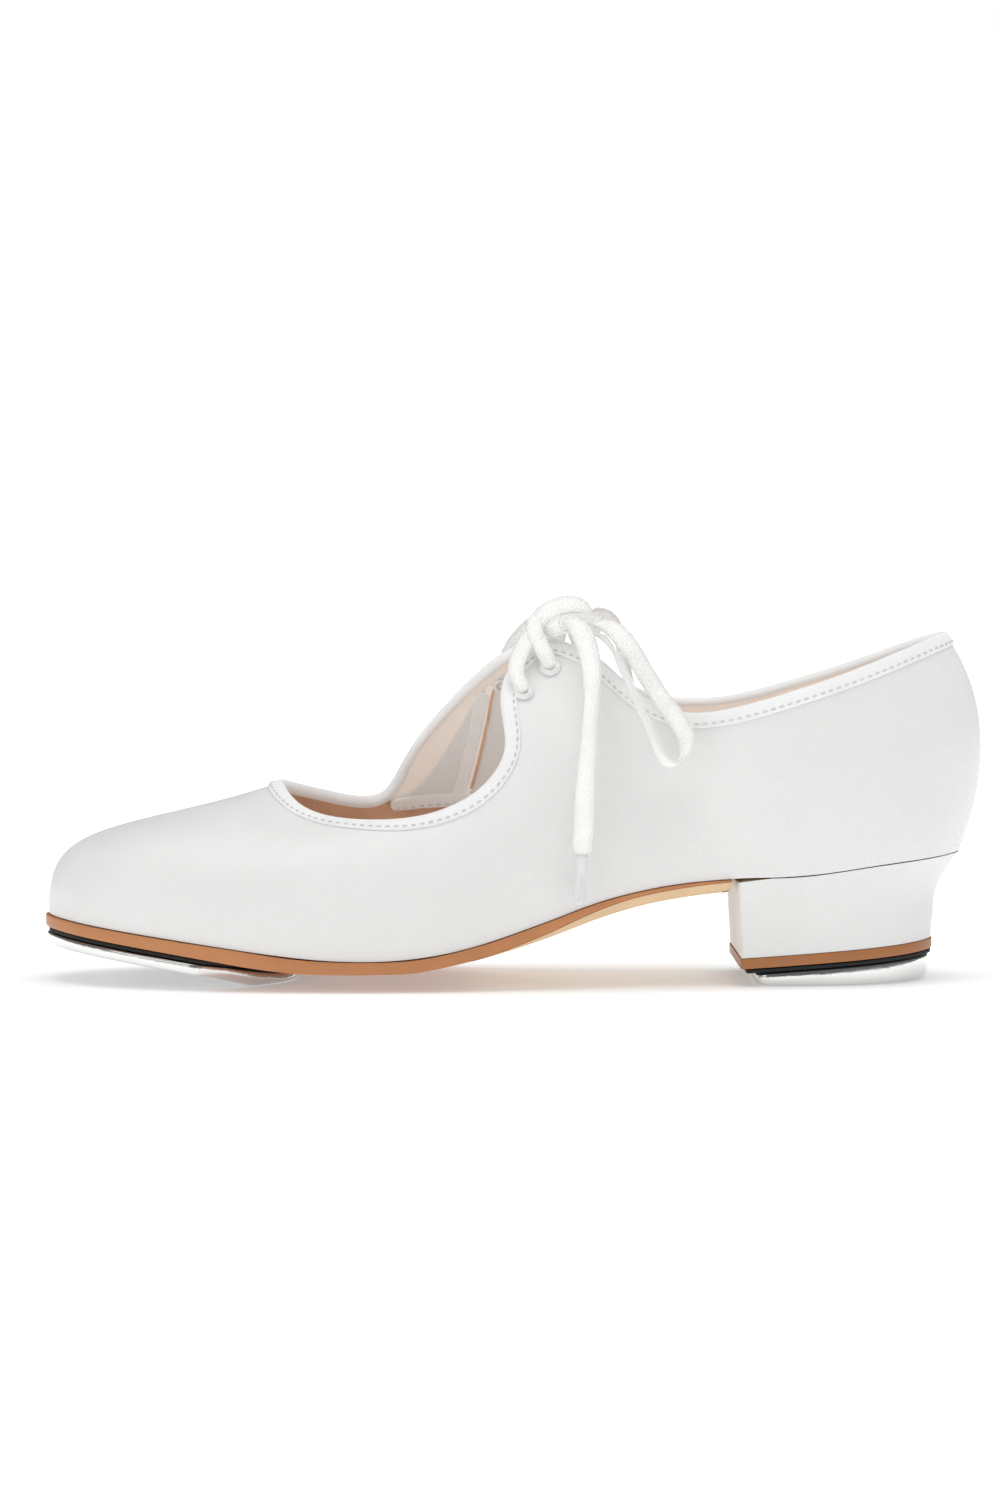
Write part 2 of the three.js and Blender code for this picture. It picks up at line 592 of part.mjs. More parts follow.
// Toe tap plan: the sole's outline in front, a bulging arc behind.
function toeTapLimits(inset, rear) {
  const outline = outlineInset(inset);
  const bulge = TOE_TAP_REAR - TOE_TAP_CORNER;
  return (x) => {
    const [low, high] = limitsAt(outline, x);
    const half = TAP_SPREAD * Math.sqrt(Math.max(rear - x, 0) / bulge);
    return [Math.max(low, -half), Math.min(high, half)];
  };
}

const toeBoardTop = (x) => soleZ(x) - FIT_GAP;
const toeTapTop = (x) => toeBoardTop(x) - SOUND_BOARD_WALL - FIT_GAP;
// The tap thickens behind its corners, so that its rear part lies flat on the floor.
const toeTapBottom = (x) => Math.max(
  0, toeTapTop(x) - TOE_TAP_WALL - TAP_THICKENING * Math.max(0, x - TOE_TAP_CORNER));

const HEEL_BOTTOM_FRONT = 7.2;     // height of the heel block's lower face at the breast
const HEEL_BOTTOM_PITCH = 0.072;   // and its rise per millimetre towards the back
const heelBottom = (x) => HEEL_BOTTOM_FRONT + HEEL_BOTTOM_PITCH * (x - HEEL_BREAST);
const liftBottom = (x) => heelBottom(x) - TOPLIFT_WALL - FIT_GAP;
const heelBoardBottom = (x) => liftBottom(x) - SOUND_BOARD_WALL - FIT_GAP;
const heelTapTop = (x) => heelBoardBottom(x) - FIT_GAP;

const TOE_SCREWS = [
  { name: 'toe_tap_screw_outer', x: -98, y: -15 },
  { name: 'toe_tap_screw_inner', x: -98, y: 20 },
  { name: 'toe_tap_screw_rear', x: -66, y: 0 },
].map((s) => ({ ...s, x: s.x * LENGTH_SCALE, y: s.y * WIDTH_SCALE, base: toeTapBottom }));
const HEEL_SCREWS = [
  { name: 'heel_tap_screw_outer', x: 70, y: -16 },
  { name: 'heel_tap_screw_inner', x: 70, y: 16 },
  { name: 'heel_tap_screw_rear', x: 102, y: 0 },
].map((s) => ({ ...s, x: s.x * LENGTH_SCALE, y: s.y * WIDTH_SCALE, base: () => 0 }));
const HEAD_WALL = 1.2;
const HEAD_RECESS = 0.5;

// Countersunk wood screw pointing up, its head sunk into the tap.
function screwSolid({ x, y, base }, grow) {
  const head = base(x) + (grow ? -3 : HEAD_RECESS);
  const rimTop = base(x) + HEAD_RECESS + 0.3 + grow;
  const neck = base(x) + HEAD_RECESS + HEAD_WALL + grow;
  const tip = base(x) + HEAD_RECESS + SCREW_LENGTH + grow;
  return turned([[0, head], [SCREW_HEAD_RADIUS + grow, head], [SCREW_HEAD_RADIUS + grow, rimTop],
    [SCREW_SHANK_RADIUS + grow, neck], [SCREW_SHANK_RADIUS + grow, tip - 1.2], [0, tip]],
  vec(x, y, 0), UP, 14);
}

function makeScrews() {
  [...TOE_SCREWS, ...HEEL_SCREWS].forEach((screw) => {
    const slot = new THREE.BoxGeometry(2 * SCREW_HEAD_RADIUS + 1, 0.8, 0.9);
    slot.translate(screw.x, screw.y, screw.base(screw.x) + HEAD_RECESS);
    add(screw.name, cut(screwSolid(screw, 0), [slot]), STEEL);
  });
}

const screwHoles = (screws) => screws.map((s) => screwSolid(s, FIT_GAP));

function makeToeTap() {
  const holes = screwHoles(TOE_SCREWS);
  const front = (inset) => Math.min(...outlineInset(inset).map((p) => p.x)) + 0.15;
  const board = plate({
    x0: front(BOARD_INSET), x1: TOE_TAP_REAR + 0.9, steps: 26,
    limits: toeTapLimits(BOARD_INSET, TOE_TAP_REAR + 1),
    top: toeBoardTop, bottom: (x) => toeBoardTop(x) - SOUND_BOARD_WALL,
  });
  add('toe_sound_board', cut(board, holes), BLACK_BOARD);
  const tap = plate({
    x0: front(TAP_INSET), x1: TOE_TAP_REAR - 0.1, steps: 28,
    limits: toeTapLimits(TAP_INSET, TOE_TAP_REAR),
    top: toeTapTop, bottom: toeTapBottom,
  });
  add('toe_tap', cut(tap, holes), TAP_METAL);
}

function makeOutsole() {
  const sole = insetPlate({
    inset: -SOLE_EDGE_PROUD, x1: HEEL_BREAST - FIT_GAP - 1, steps: 40,
    bottom: soleZ, top: (x) => featherZ(x) - FIT_GAP,
  });
  add('outsole', cut(sole, screwHoles(TOE_SCREWS)), TAN_SOLE);
}

// ---- Heel ----
const HEEL_BACK_TOP = 119.5 * LENGTH_SCALE;
const HEEL_RINGS = 3;
const HEEL_TAPER = 0.07;
const HEEL_TAP_SETBACK = 5 * LENGTH_SCALE;
// Back of the heel, from seat (0) to toplift (1): a concave sweep, as lengths from the breast.
const heelBack = (s) => lerp(HEEL_BACK_TOP, 112 * LENGTH_SCALE, 1 - (1 - s) * (1 - s))
  - 1.2 * Math.sin(Math.PI * Math.min(1, 1.4 * s));
const heelFront = (s) => HEEL_BREAST + 1.2 * s;

// One level of the heel: breast line, then round the back.
function heelRing(s, inset) {
  const outline = outlineInset(0);
  const back = heelBack(s) - inset;
  const front = heelFront(s) + inset;
  const shrink = 1 - HEEL_TAPER * s;
  const steps = 13;
  const across = 3;
  const ring = [];
  const level = (x, y) => {
    const top = featherZ(x) - 2 * FIT_GAP;
    const bottom = heelBottom(x);
    return vec(x, y, lerp(top, bottom, s));
  };
  const sideOf = (f, side) => {
    const x = lerp(HEEL_BREAST, HEEL_BACK_TOP - 0.05, f);
    const y = limitsAt(outline, x)[side] * shrink;
    return [lerp(front, back, f), y - Math.sign(y) * Math.min(inset, Math.abs(y) * 0.9)];
  };
  for (let i = 0; i <= steps; i += 1) {
    ring.push(level(...sideOf(Math.sin((Math.PI / 2) * (i / steps)), 0)));
  }
  for (let i = steps - 1; i >= 0; i -= 1) {
    ring.push(level(...sideOf(Math.sin((Math.PI / 2) * (i / steps)), 1)));
  }
  const [xa, ya] = sideOf(0, 1);
  const [, yb] = sideOf(0, 0);
  for (let i = 1; i < across; i += 1) {
    ring.push(level(xa, lerp(ya, yb, i / across)));
  }
  return ring;
}

function makeHeel() {
  const levels = (inset, from, to) => Array.from({ length: HEEL_RINGS + 1 },
    (_, i) => heelRing(lerp(from, to, i / HEEL_RINGS), inset));
  const outer = levels(0, 0, 0.995);
  const inner = levels(HEEL_COVER_WALL, 0, 0.995).reverse();
  const cover = skin([...outer, ...inner], true);
  add('heel_cover', cover, WHITE_UPPER);
  const core = skin(levels(HEEL_COVER_WALL + FIT_GAP, 0.01, 0.99));
  add('heel_core', cut(core, [...screwHoles(HEEL_SCREWS),
    ...HEEL_FIXINGS.map((f) => fixingSolid(f, FIT_GAP))]), HEEL_WOOD);
}

// The heel's lowest ring with its front edge moved back from the breast.
function setBackRing(inset, gap) {
  return heelRing(1, inset).map((p) => p.clone().setX(Math.max(p.x, HEEL_BREAST + gap)));
}

// Flat layer under the heel: the heel's lowest ring between two sloping planes.
function heelLayer(inset, top, bottom, gap = 0) {
  const ring = setBackRing(inset, gap);
  return skin([ring.map((p) => vec(p.x, p.y, bottom(p.x))), ring.map((p) => vec(p.x, p.y, top(p.x)))]);
}

function makeHeelBottom() {
  const holes = screwHoles(HEEL_SCREWS);
  const lift = heelLayer(-0.2, (x) => heelBottom(x) - FIT_GAP, (x) => liftBottom(x));
  add('toplift', cut(lift, holes), LIFT_TAN);
  const board = heelLayer(0.1, (x) => liftBottom(x) - FIT_GAP, heelBoardBottom,
    HEEL_TAP_SETBACK / 2);
  add('heel_sound_board', cut(board, holes), BLACK_BOARD);
  const middle = (HEEL_BREAST + heelBack(1)) / 2;
  const side = setBackRing(0.6, HEEL_TAP_SETBACK);
  const shrunk = (rise, edge) => side.map((p) => {
    const behind = smooth(middle, heelBack(1), p.x);
    const move = edge * lerp(1, 3.5, behind);
    const inwards = vec(middle - p.x, -p.y, 0).normalize();
    return p.clone().addScaledVector(inwards, move).setZ(rise * lerp(1, 2.2, behind));
  });
  const tap = skin([shrunk(0, 0.8), shrunk(0.8, 0), side.map((p) => vec(p.x, p.y, heelTapTop(p.x)))]);
  add('heel_tap', cut(tap, holes), TAP_METAL);
}

function makeHeelFixings() {
  HEEL_FIXINGS.forEach((f) => add(f.name, fixingSolid(f, 0), STEEL));
}

// ---- Lace ----
// Flat lace along a route: an oval section swept along the curve, its ends closed.
function laceTube(route, width = LACE_WIDTH, wall = LACE_WALL, steps = 16) {
  const curve = new THREE.CatmullRomCurve3(route, false, 'centripetal');
  const section = new THREE.Shape(Array.from({ length: 8 }, (_, i) => {
    const angle = (2 * Math.PI * (i + 0.5)) / 8;
    return new THREE.Vector2((width / 2) * Math.cos(angle), (wall / 2) * Math.sin(angle));
  }));
  const tube = new THREE.ExtrudeGeometry(section, { steps, bevelEnabled: false, extrudePath: curve });
  tube.deleteAttribute('normal');
  tube.deleteAttribute('uv');
  return outward(mergeVertices(tube, 1e-4));
}

const KNOT = vec(13, -0.5, 96.2);
const KNOT_SIZE = vec(6.6, 6.2, 3.6);
const points = (list) => list.map((p) => vec(...p));

const LACE_ROUTES = {
  lace_loop_outer: points([[21, -4.2, 95.6], [26.2, -10.4, 93.8], [30.6, -17.5, 88.8],
    [34.2, -22.8, 82.6], [38.2, -26.8, 76.2], [42.4, -29.4, 70.4], [44.7, -31.2, 65.2],
    [43.6, -32.4, 60.8], [40.5, -33, 59.2], [37.5, -33.2, 62.2], [35.2, -32, 68],
    [32.2, -29.8, 74.5], [29.6, -26.4, 80.9], [27, -21.4, 86], [24.6, -14.4, 90.2],
    [21.8, -7, 92.6]]),
  lace_end_outer: points([[14.5, -8, 96.4], [17.8, -13.8, 93], [20, -20, 85.6],
    [20.2, -25.6, 76.6], [19.2, -30.8, 66], [18.2, -34.8, 55], [17.6, -37.4, 44.6],
    [17, -38.6, 35.4]]),
  lace_loop_inner: points([[20.4, 6, 97], [25.5, 11, 96], [29, 17.5, 90.6], [31, 23, 82.6],
    [33, 26.6, 73.6], [34.4, 28.4, 65], [32.4, 29.4, 60], [28.8, 29.6, 59.4],
    [25.4, 29.2, 63.4], [23.2, 27.8, 71.4], [21.2, 24.4, 80.4], [18.6, 17.6, 89],
    [16.6, 9.6, 94.6]]),
  lace_end_inner: points([[12, 8, 96.6], [12, 14, 92.6], [11.4, 20, 85.6], [10.4, 25, 76.6],
    [9.6, 28.6, 66], [9, 31, 55], [8.6, 32.4, 46]]),
};

function makeLace() {
  add('lace_knot', new THREE.SphereGeometry(1, 14, 8)
    .scale(KNOT_SIZE.x, KNOT_SIZE.y, KNOT_SIZE.z).translate(KNOT.x, KNOT.y, KNOT.z), LACE_WHITE);
  Object.entries(LACE_ROUTES).forEach(([name, route]) => {
    const narrow = name.startsWith('lace_end');
    add(name, laceTube(route, narrow ? 0.8 * LACE_WIDTH : LACE_WIDTH), LACE_WHITE);
  });
  ['outer', 'inner'].forEach((side) => {
    const route = LACE_ROUTES[`lace_end_${side}`];
    const end = route[route.length - 1];
    const heading = end.clone().sub(route[route.length - 2]).normalize();
    const start = end.clone().addScaledVector(heading, FIT_GAP);
    add(`aglet_${side}`, rod(start, start.clone().addScaledVector(heading, AGLET_LENGTH),
      AGLET_RADIUS, 8), AGLET_CLEAR);
  });
}

// Strands from each eyelet up to the knot.
function makeStrands() {
  EYELETS.forEach(({ name, point, normal }) => {
    const mouth = point.clone().addScaledVector(normal, 1.6);
    const lift = point.clone().addScaledVector(normal, 4.2).addScaledVector(UP, 0.8);
    const toKnot = KNOT.clone().sub(lift);
    const over = lift.clone().addScaledVector(toKnot, 0.42).addScaledVector(UP, 2.4);
    const end = lift.clone().addScaledVector(toKnot, 0.42).lerp(KNOT, 0.22).addScaledVector(UP, 1.8);
    add(name.replace('eyelet', 'lace_strand'), laceTube([mouth, lift, over, end], 3.4, 1.2, 8),
      LACE_WHITE);
  });
}

makeUpper();
makeStiffeners();
makeLinings();
makeFacings();
makeBinding();
makeEyelets();
makeInsole();
makeBottomFilling();
makeOutsole();
makeHeel();
makeHeelBottom();
makeHeelFixings();
makeToeTap();
makeScrews();
makeLace();
makeStrands();

export default shoe;
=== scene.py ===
"""Tie tap shoe: the finished surfaces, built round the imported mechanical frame."""
import math

import bmesh
import bpy
import numpy as np
from bpy.props import FloatProperty, FloatVectorProperty, PointerProperty
from mathutils import Matrix, Vector


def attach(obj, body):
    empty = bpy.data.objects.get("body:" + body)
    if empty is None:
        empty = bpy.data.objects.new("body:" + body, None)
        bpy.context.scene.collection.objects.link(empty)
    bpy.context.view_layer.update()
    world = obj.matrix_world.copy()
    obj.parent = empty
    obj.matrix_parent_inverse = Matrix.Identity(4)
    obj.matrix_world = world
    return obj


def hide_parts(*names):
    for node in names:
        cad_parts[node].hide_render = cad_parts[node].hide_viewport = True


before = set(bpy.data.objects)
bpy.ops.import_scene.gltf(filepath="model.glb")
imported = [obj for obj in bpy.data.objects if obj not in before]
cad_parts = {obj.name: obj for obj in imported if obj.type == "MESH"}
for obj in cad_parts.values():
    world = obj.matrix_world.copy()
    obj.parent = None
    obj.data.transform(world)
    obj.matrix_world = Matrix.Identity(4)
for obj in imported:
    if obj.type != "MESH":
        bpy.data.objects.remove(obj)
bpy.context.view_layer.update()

bl_info = {
    "name": "Tie Tap Shoe",
    "version": (1, 0, 0),
    "blender": (4, 5, 0),
    "location": "3D View > Sidebar > Tap Shoe",
    "description": "Builds the finished pieces of a white tie tap shoe round its frame",
    "category": "Add Mesh",
}

MM = 0.001
SHOE = "shoe"

# ---- last and pattern, in mm
# Heights along the shoe: the feather line, where upper meets sole, and the sole's underside.
FEATHER = [(-125, 17.6), (-101, 14.5), (-75, 11.1), (-57, 8.7), (-40, 8.0), (-25, 8.8), (-9, 12.3),
           (7, 17.6), (23, 23.2), (40, 26.9), (58, 28.6), (76, 29.3), (97, 32), (120, 34.3)]
UNDERSIDE = [(-126, 14.3), (-101, 10.9), (-81, 7.9), (-68, 5.9), (-56, 4.7), (-33, 4.6), (-25, 5.2),
             (-9, 8.6), (7, 13.3), (23, 18.9), (35, 22.1), (47, 24.1), (59, 25.4)]

# Stations round the shoe: foot of the wall (x, y), rim above it (x, y, z), how far the wall
# swells out and how high it rises before it turns in, and the direction of arrival at the rim.
OUTER_SIDE = [
    (-124.2, 4, -61.8, 1, 52.6, 1.5, 27, -42, 0.5, -15),
    (-118, -13.5, -60, -8, 49.9, 2, 25, -32, -13, -11),
    (-105, -25.5, -55.5, -15.5, 46.4, 2.5, 22, -20, -15, -8),
    (-87, -33.5, -48.5, -21.5, 44.4, 3, 19, -10, -15, -8),
    (-68, -38, -40, -25.5, 43.8, 3, 17, -6, -13, -8),
    (-50, -40, -31, -27.8, 44.2, 3, 16, -4, -11, -10),
    (-33, -40.3, -21.5, -28.6, 46, 2.5, 16, -3, -9, -12),
    (-18, -39.2, -12, -28.6, 50.3, 2, 17, 3, -7, -13),
    (-6, -37.5, -5.4, -27.6, 56.5, 1.5, 18, 8, -6, -10),
    (3, -36, -2.4, -25.1, 63.5, 1, 20, 10, -5, -8),
    (10, -34.7, -2.9, -20.8, 71.2, 1, 22, 12, -5, -7),
    (16, -33.4, -3, -15.2, 78.6, 1, 24, 12, -7, -8),
    (22, -32.2, 1, -8.7, 85.6, 1, 25, 8, -9, -10),
    (28, -31, 8.6, -5.4, 89.8, 1, 26, 2, -12, -13),
    (34, -30, 16.2, -7.8, 88.6, 1, 25, -3, -11, -13),
    (40, -29.2, 23.3, -12.4, 85, 1, 24, -5, -8, -14),
    (46, -28.5, 29.7, -17.6, 79.2, 1, 22, -5, -7, -14),
    (52, -28.1, 37.2, -21.8, 74.2, 1, 19, -3, -5, -14),
    (60, -28, 47, -24, 71.8, 1.5, 16, -1, -5, -15),
    (70, -28.2, 60, -24.4, 73.7, 2, 16, 1, -5, -16),
    (82, -28, 74, -23.6, 77.7, 2.5, 17, 2, -6, -17),
    (95, -26.2, 87, -21.6, 82, 3, 17, 5, -6, -18),
    (107.5, -20.5, 100, -16.6, 86.8, 4, 17, 9, -5, -18),
    (116, -11, 110.6, -9.2, 90.8, 6, 17, 12, -3, -18),
]
BACK = (119.5, 0, 115.4, 0, 92.3, 7.5, 18, 13.5, 0, -18)
INNER_SIDE = [
    (-117, 21, -59, 9.5, 51.6, 2, 25, -30, 14, -10),
    (-103, 30, -53.5, 16.6, 49.8, 2.5, 22, -18, 15, -8),
    (-86, 36, -46.6, 21.6, 47.9, 3, 20, -9, 14, -8),
    (-68, 39.2, -39.4, 24.4, 46.8, 3, 18, -5, 12, -8),
    (-51, 39, -34, 25.6, 48.6, 3, 17, 3, 10, -12),
    (-36, 36.4, -30.4, 25.8, 54, 2.5, 17, 8, 8, -11),
    (-23, 33, -26.6, 24.9, 60.6, 2, 18, 9, 7, -11),
    (-11, 29.9, -21.4, 22.4, 67.6, 1.5, 20, 10, 8, -10),
    (-2, 28, -15.4, 18.6, 74.4, 1, 22, 10, 9, -10),
    (6, 26.4, -9, 14, 81, 1, 24, 9, 11, -10),
    (13.5, 25.2, -2, 9, 86.6, 1, 25, 7, 13, -12),
    (20.5, 24.6, 7, 5.8, 90.2, 1, 26, 3, 13, -13),
    (27.5, 24.4, 15, 7.6, 89, 1, 25, -3, 12, -13),
    (34.5, 24.4, 22.4, 11.8, 85.2, 1, 24, -4, 9, -14),
    (41, 24.6, 29, 16.4, 79.8, 1, 22, -4, 7, -15),
    (48, 25.1, 36.6, 20.4, 75.4, 1, 19, -2, 5, -15),
    (57, 25.8, 46.6, 22.4, 73.6, 1.5, 16, 1, 5, -15),
    (68, 26.6, 59, 22.6, 74.2, 2, 16, 1, 5, -16),
    (81, 26.8, 73, 22, 77.6, 2.5, 17, 2, 6, -17),
    (94, 25.4, 86.6, 20.4, 81.8, 3, 17, 5, 6, -18),
    (107, 20.4, 99.8, 15.9, 86.6, 4, 17, 9, 5, -18),
    (116, 11, 110.6, 9, 90.8, 6, 17, 12, 3, -18),
]
STATIONS = OUTER_SIDE + [BACK] + INNER_SIDE[::-1]
COUNT = len(STATIONS)
OUTER_COUNT = len(OUTER_SIDE)

BREAST = 58.5
HEEL_BACK = 119.5
TOE_TAP_REAR = -58.0
TOE_TAP_CORNER = -81.0
TAP_SPREAD = 33.0
EYELET_PLACES = {          # length, height and side of each eyelet
    "eyelet_outer_front": (2, 77.4, "outer"), "eyelet_outer_rear": (9.6, 83.6, "outer"),
    "eyelet_inner_front": (-2.2, 79.4, "inner"), "eyelet_inner_rear": (7, 84.2, "inner"),
}
KNOT = np.array((13, -0.5, 96.2))
FINE_STEP = 1e-3           # step in u and t over which a direction is measured
RIM_STEPS = 3              # steps in which a point is moved down from the rim
OUTLINE_POINTS = 1440
HEEL_POINTS = 300
TOE_TAP_POINTS = 340

LACE_ROUTES = {            # the free lace, in metres
    "lace_loop_outer": [
        (.021, -.0042, .0956), (.0262, -.0104, .0938), (.0306, -.0175, .0888),
        (.0342, -.0228, .0826), (.0382, -.0268, .0762), (.0424, -.0294, .0704),
        (.0447, -.0312, .0652), (.0436, -.0324, .0608), (.0405, -.033, .0592),
        (.0375, -.0332, .0622), (.0352, -.032, .068), (.0322, -.0298, .0745),
        (.0296, -.0264, .0809), (.027, -.0214, .086), (.0246, -.0144, .0902),
        (.0218, -.007, .0926)],
    "lace_end_outer": [
        (.0145, -.008, .0964), (.0178, -.0138, .093), (.02, -.02, .0856), (.0202, -.0256, .0766),
        (.0192, -.0308, .066), (.0182, -.0348, .055), (.0176, -.0374, .0446),
        (.017, -.0386, .0354)],
    "lace_loop_inner": [
        (.0204, .006, .097), (.0255, .011, .096), (.029, .0175, .0906), (.031, .023, .0826),
        (.033, .0266, .0736), (.0344, .0284, .065), (.0324, .0294, .06), (.0288, .0296, .0594),
        (.0254, .0292, .0634), (.0232, .0278, .0714), (.0212, .0244, .0804),
        (.0186, .0176, .089), (.0166, .0096, .0946)],
    "lace_end_inner": [
        (.012, .008, .0966), (.012, .014, .0926), (.0114, .02, .0856), (.0104, .025, .0766),
        (.0096, .0286, .066), (.009, .031, .055), (.0086, .0324, .046)],
}
LACE_BODIES = {
    "lace_loop_outer": "outer_bow_loop", "lace_end_outer": "outer_lace_end",
    "lace_loop_inner": "inner_bow_loop", "lace_end_inner": "inner_lace_end",
}


def ramp(x, start, length):
    """Share from 0 to 1 over a length that begins at start."""
    return np.clip((np.asarray(x) - start) / length, 0, 1)


def eased(share):
    """Share from 0 to 1 with a soft start and a soft end."""
    return share * share * (3 - 2 * share)


def run_of(points):
    """Length run from the first point of a line to each of its points."""
    return np.concatenate([[0], np.cumsum(np.linalg.norm(np.diff(points, axis=0), axis=1))])


def at_run(where, reach, points):
    """Points of a line at the given lengths run along it."""
    return np.stack([np.interp(where, reach, column) for column in np.transpose(points)], -1)


def height_curve(points):
    """Height as a smooth function of length."""
    xs = np.array([p[0] for p in points], float)
    zs = np.array([p[1] for p in points], float)
    before = np.maximum(np.arange(len(xs)) - 1, 0)
    after = np.minimum(np.arange(len(xs)) + 1, len(xs) - 1)
    slope = (zs[after] - zs[before]) / (xs[after] - xs[before])

    def height(x):
        x = np.asarray(x, float)
        k = np.clip(np.searchsorted(xs, x, side="left") - 1, 0, len(xs) - 2)
        width = xs[k + 1] - xs[k]
        f = np.clip((x - xs[k]) / width, 0, 1)
        g = 1 - f
        return (zs[k] * g * g * (1 + 2 * f) + zs[k + 1] * f * f * (1 + 2 * g)
                + width * f * g * (slope[k] * g - slope[k + 1] * f))
    return height


def closed_curve(points):
    """Closed curve with continuous curvature through the points, for u from 0 to 1."""
    points = np.array(points, float)
    n = len(points)
    poles = points.copy()
    for _ in range(40):
        for i in range(n):
            poles[i] = (6 * points[i] - poles[i - 1] - poles[(i + 1) % n]) / 4

    def at(u):
        s = np.asarray(u, float) * n
        k = np.floor(s).astype(int)
        f = (s - k)[..., None]
        g = 1 - f
        weights = (g ** 3, 3 * f ** 3 - 6 * f ** 2 + 4,
                   -3 * f ** 3 + 3 * f ** 2 + 3 * f + 1, f ** 3)
        return sum(w * poles[(k - 1 + i) % n] for i, w in enumerate(weights)) / 6
    return at


feather_z = height_curve(FEATHER)
underside_z = height_curve(UNDERSIDE)


def make_rails():
    """Four closed rails: foot, lower handle, upper handle and rim of the wall."""
    table = np.array(STATIONS, float)
    foot = np.column_stack([table[:, 0], table[:, 1], feather_z(table[:, 0])])
    along = np.roll(foot, -1, 0) - np.roll(foot, 1, 0)
    out = np.column_stack([along[:, 1], -along[:, 0], np.zeros(COUNT)])
    out /= np.linalg.norm(out, axis=1)[:, None]
    low = foot + out * table[:, 5:6] + np.array((0, 0, 1)) * table[:, 6:7]
    rim = table[:, 2:5]
    return [closed_curve(p) for p in (foot, low, rim + table[:, 7:10], rim)]


RAILS = make_rails()


def wall_point(u, t):
    """Point on the outside of the upper: u round the shoe, t from feather line to rim."""
    t = np.asarray(t, float)[..., None]
    s = 1 - t
    weights = (s ** 3, 3 * s * s * t, 3 * s * t * t, t ** 3)
    return sum(w * rail(u) for w, rail in zip(weights, RAILS))


def unit(v):
    return v / np.linalg.norm(v, axis=-1, keepdims=True)


def wall_frame(u, t):
    """Point, directions round and up, and outward normal."""
    u, t = np.broadcast_arrays(np.asarray(u, float), np.asarray(t, float))
    around = (wall_point(u + FINE_STEP, t) - wall_point(u - FINE_STEP, t)) / (2 * FINE_STEP)
    up = (wall_point(u, t + FINE_STEP) - wall_point(u, t - FINE_STEP)) / (2 * FINE_STEP)
    return wall_point(u, t), around, up, unit(np.cross(around, up))


def rim_offset(u, down, out):
    """Point so many mm below the rim, measured square to it over the wall, and out from it."""
    u = np.asarray(u, float)
    t = np.ones_like(u)
    down = np.broadcast_to(np.asarray(down, float), u.shape)
    _, around, up, _ = wall_frame(u, t)
    edge = unit(around)
    inward = unit(up - edge * np.sum(up * edge, -1, keepdims=True))
    for _ in range(RIM_STEPS):
        _, around, up, _ = wall_frame(u, t)
        move = -inward * (down / RIM_STEPS)[..., None]
        aa, bb = np.sum(around * around, -1), np.sum(up * up, -1)
        ab = np.sum(around * up, -1)
        ma, mb = np.sum(move * around, -1), np.sum(move * up, -1)
        det = aa * bb - ab * ab
        u = u + (ma * bb - mb * ab) / det
        t = t + (mb * aa - ma * ab) / det
    point, _, _, normal = wall_frame(u, t)
    return point + normal * np.broadcast_to(np.asarray(out, float), u.shape)[..., None]


def outline(inset, start=0.0):
    """Plan of the shoe at the feather line, moved in by a distance: an array of x, y."""
    u = start + np.arange(OUTLINE_POINTS) / OUTLINE_POINTS
    foot = RAILS[0]
    along = unit(foot(u + FINE_STEP)[:, :2] - foot(u - FINE_STEP)[:, :2])
    inward = np.column_stack([-along[:, 1], along[:, 0]])
    return foot(u)[:, :2] + inward * inset


# ---- mesh tools
def grid(columns, rows, place, closed_u=True, closed_v=False, uv_size=(1.0, 1.0)):
    """bmesh grid laid on place(u, row), rows counted from 0. UVs are in millimetres."""
    across = columns
    down = rows if closed_v else rows - 1
    bm = bmesh.new()
    bmesh.ops.create_grid(bm, x_segments=across, y_segments=down, size=1)
    flat = np.array([v.co[:2] for v in bm.verts])
    u = (flat[:, 0] + 1) / 2
    v = (flat[:, 1] + 1) / 2
    row = np.rint(v * down).astype(int) % rows if closed_v else np.rint(v * down).astype(int)
    points = np.zeros((len(u), 3))
    for r in range(rows):
        chosen = row == r
        points[chosen] = place(u[chosen], r)
    layer = bm.loops.layers.uv.new("Surface")
    bm.verts.index_update()
    for face in bm.faces:
        for loop in face.loops:
            i = loop.vert.index
            loop[layer].uv = (u[i] * uv_size[0], v[i] * uv_size[1])
    for vert, point in zip(bm.verts, points * MM):
        vert.co = point
    if closed_u or closed_v:
        bmesh.ops.remove_doubles(bm, verts=bm.verts, dist=2e-6)
    return bm


def close_ends(bm):
    """Fill open ends with a face each, cut into triangles."""
    edges = [e for e in bm.edges if e.is_boundary]
    if edges:
        made = bmesh.ops.holes_fill(bm, edges=edges, sides=0)
        bmesh.ops.triangulate(bm, faces=made["faces"])


def set_smooth(bm, angle):
    for face in bm.faces:
        face.smooth = True
    for edge in bm.edges:
        edge.smooth = edge.calc_face_angle(0) < math.radians(angle)


def finish_piece(bm, name, slot, replaces=(), body=SHOE, angle=35, finish=None):
    """Turn a closed bmesh into a placed piece, with the slot's own finish or a named one."""
    close_ends(bm)
    if bm.calc_volume(signed=True) < 0:
        bmesh.ops.reverse_faces(bm, faces=bm.faces)
    set_smooth(bm, angle)
    mesh = bpy.data.meshes.new(name)
    bm.to_mesh(mesh)
    bm.free()
    piece = bpy.data.objects.new(name, mesh)
    bpy.context.scene.collection.objects.link(piece)
    mesh.materials.append(finish_of(finish or slot))
    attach(piece, body)
    if replaces:
        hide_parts(*replaces)
    return piece


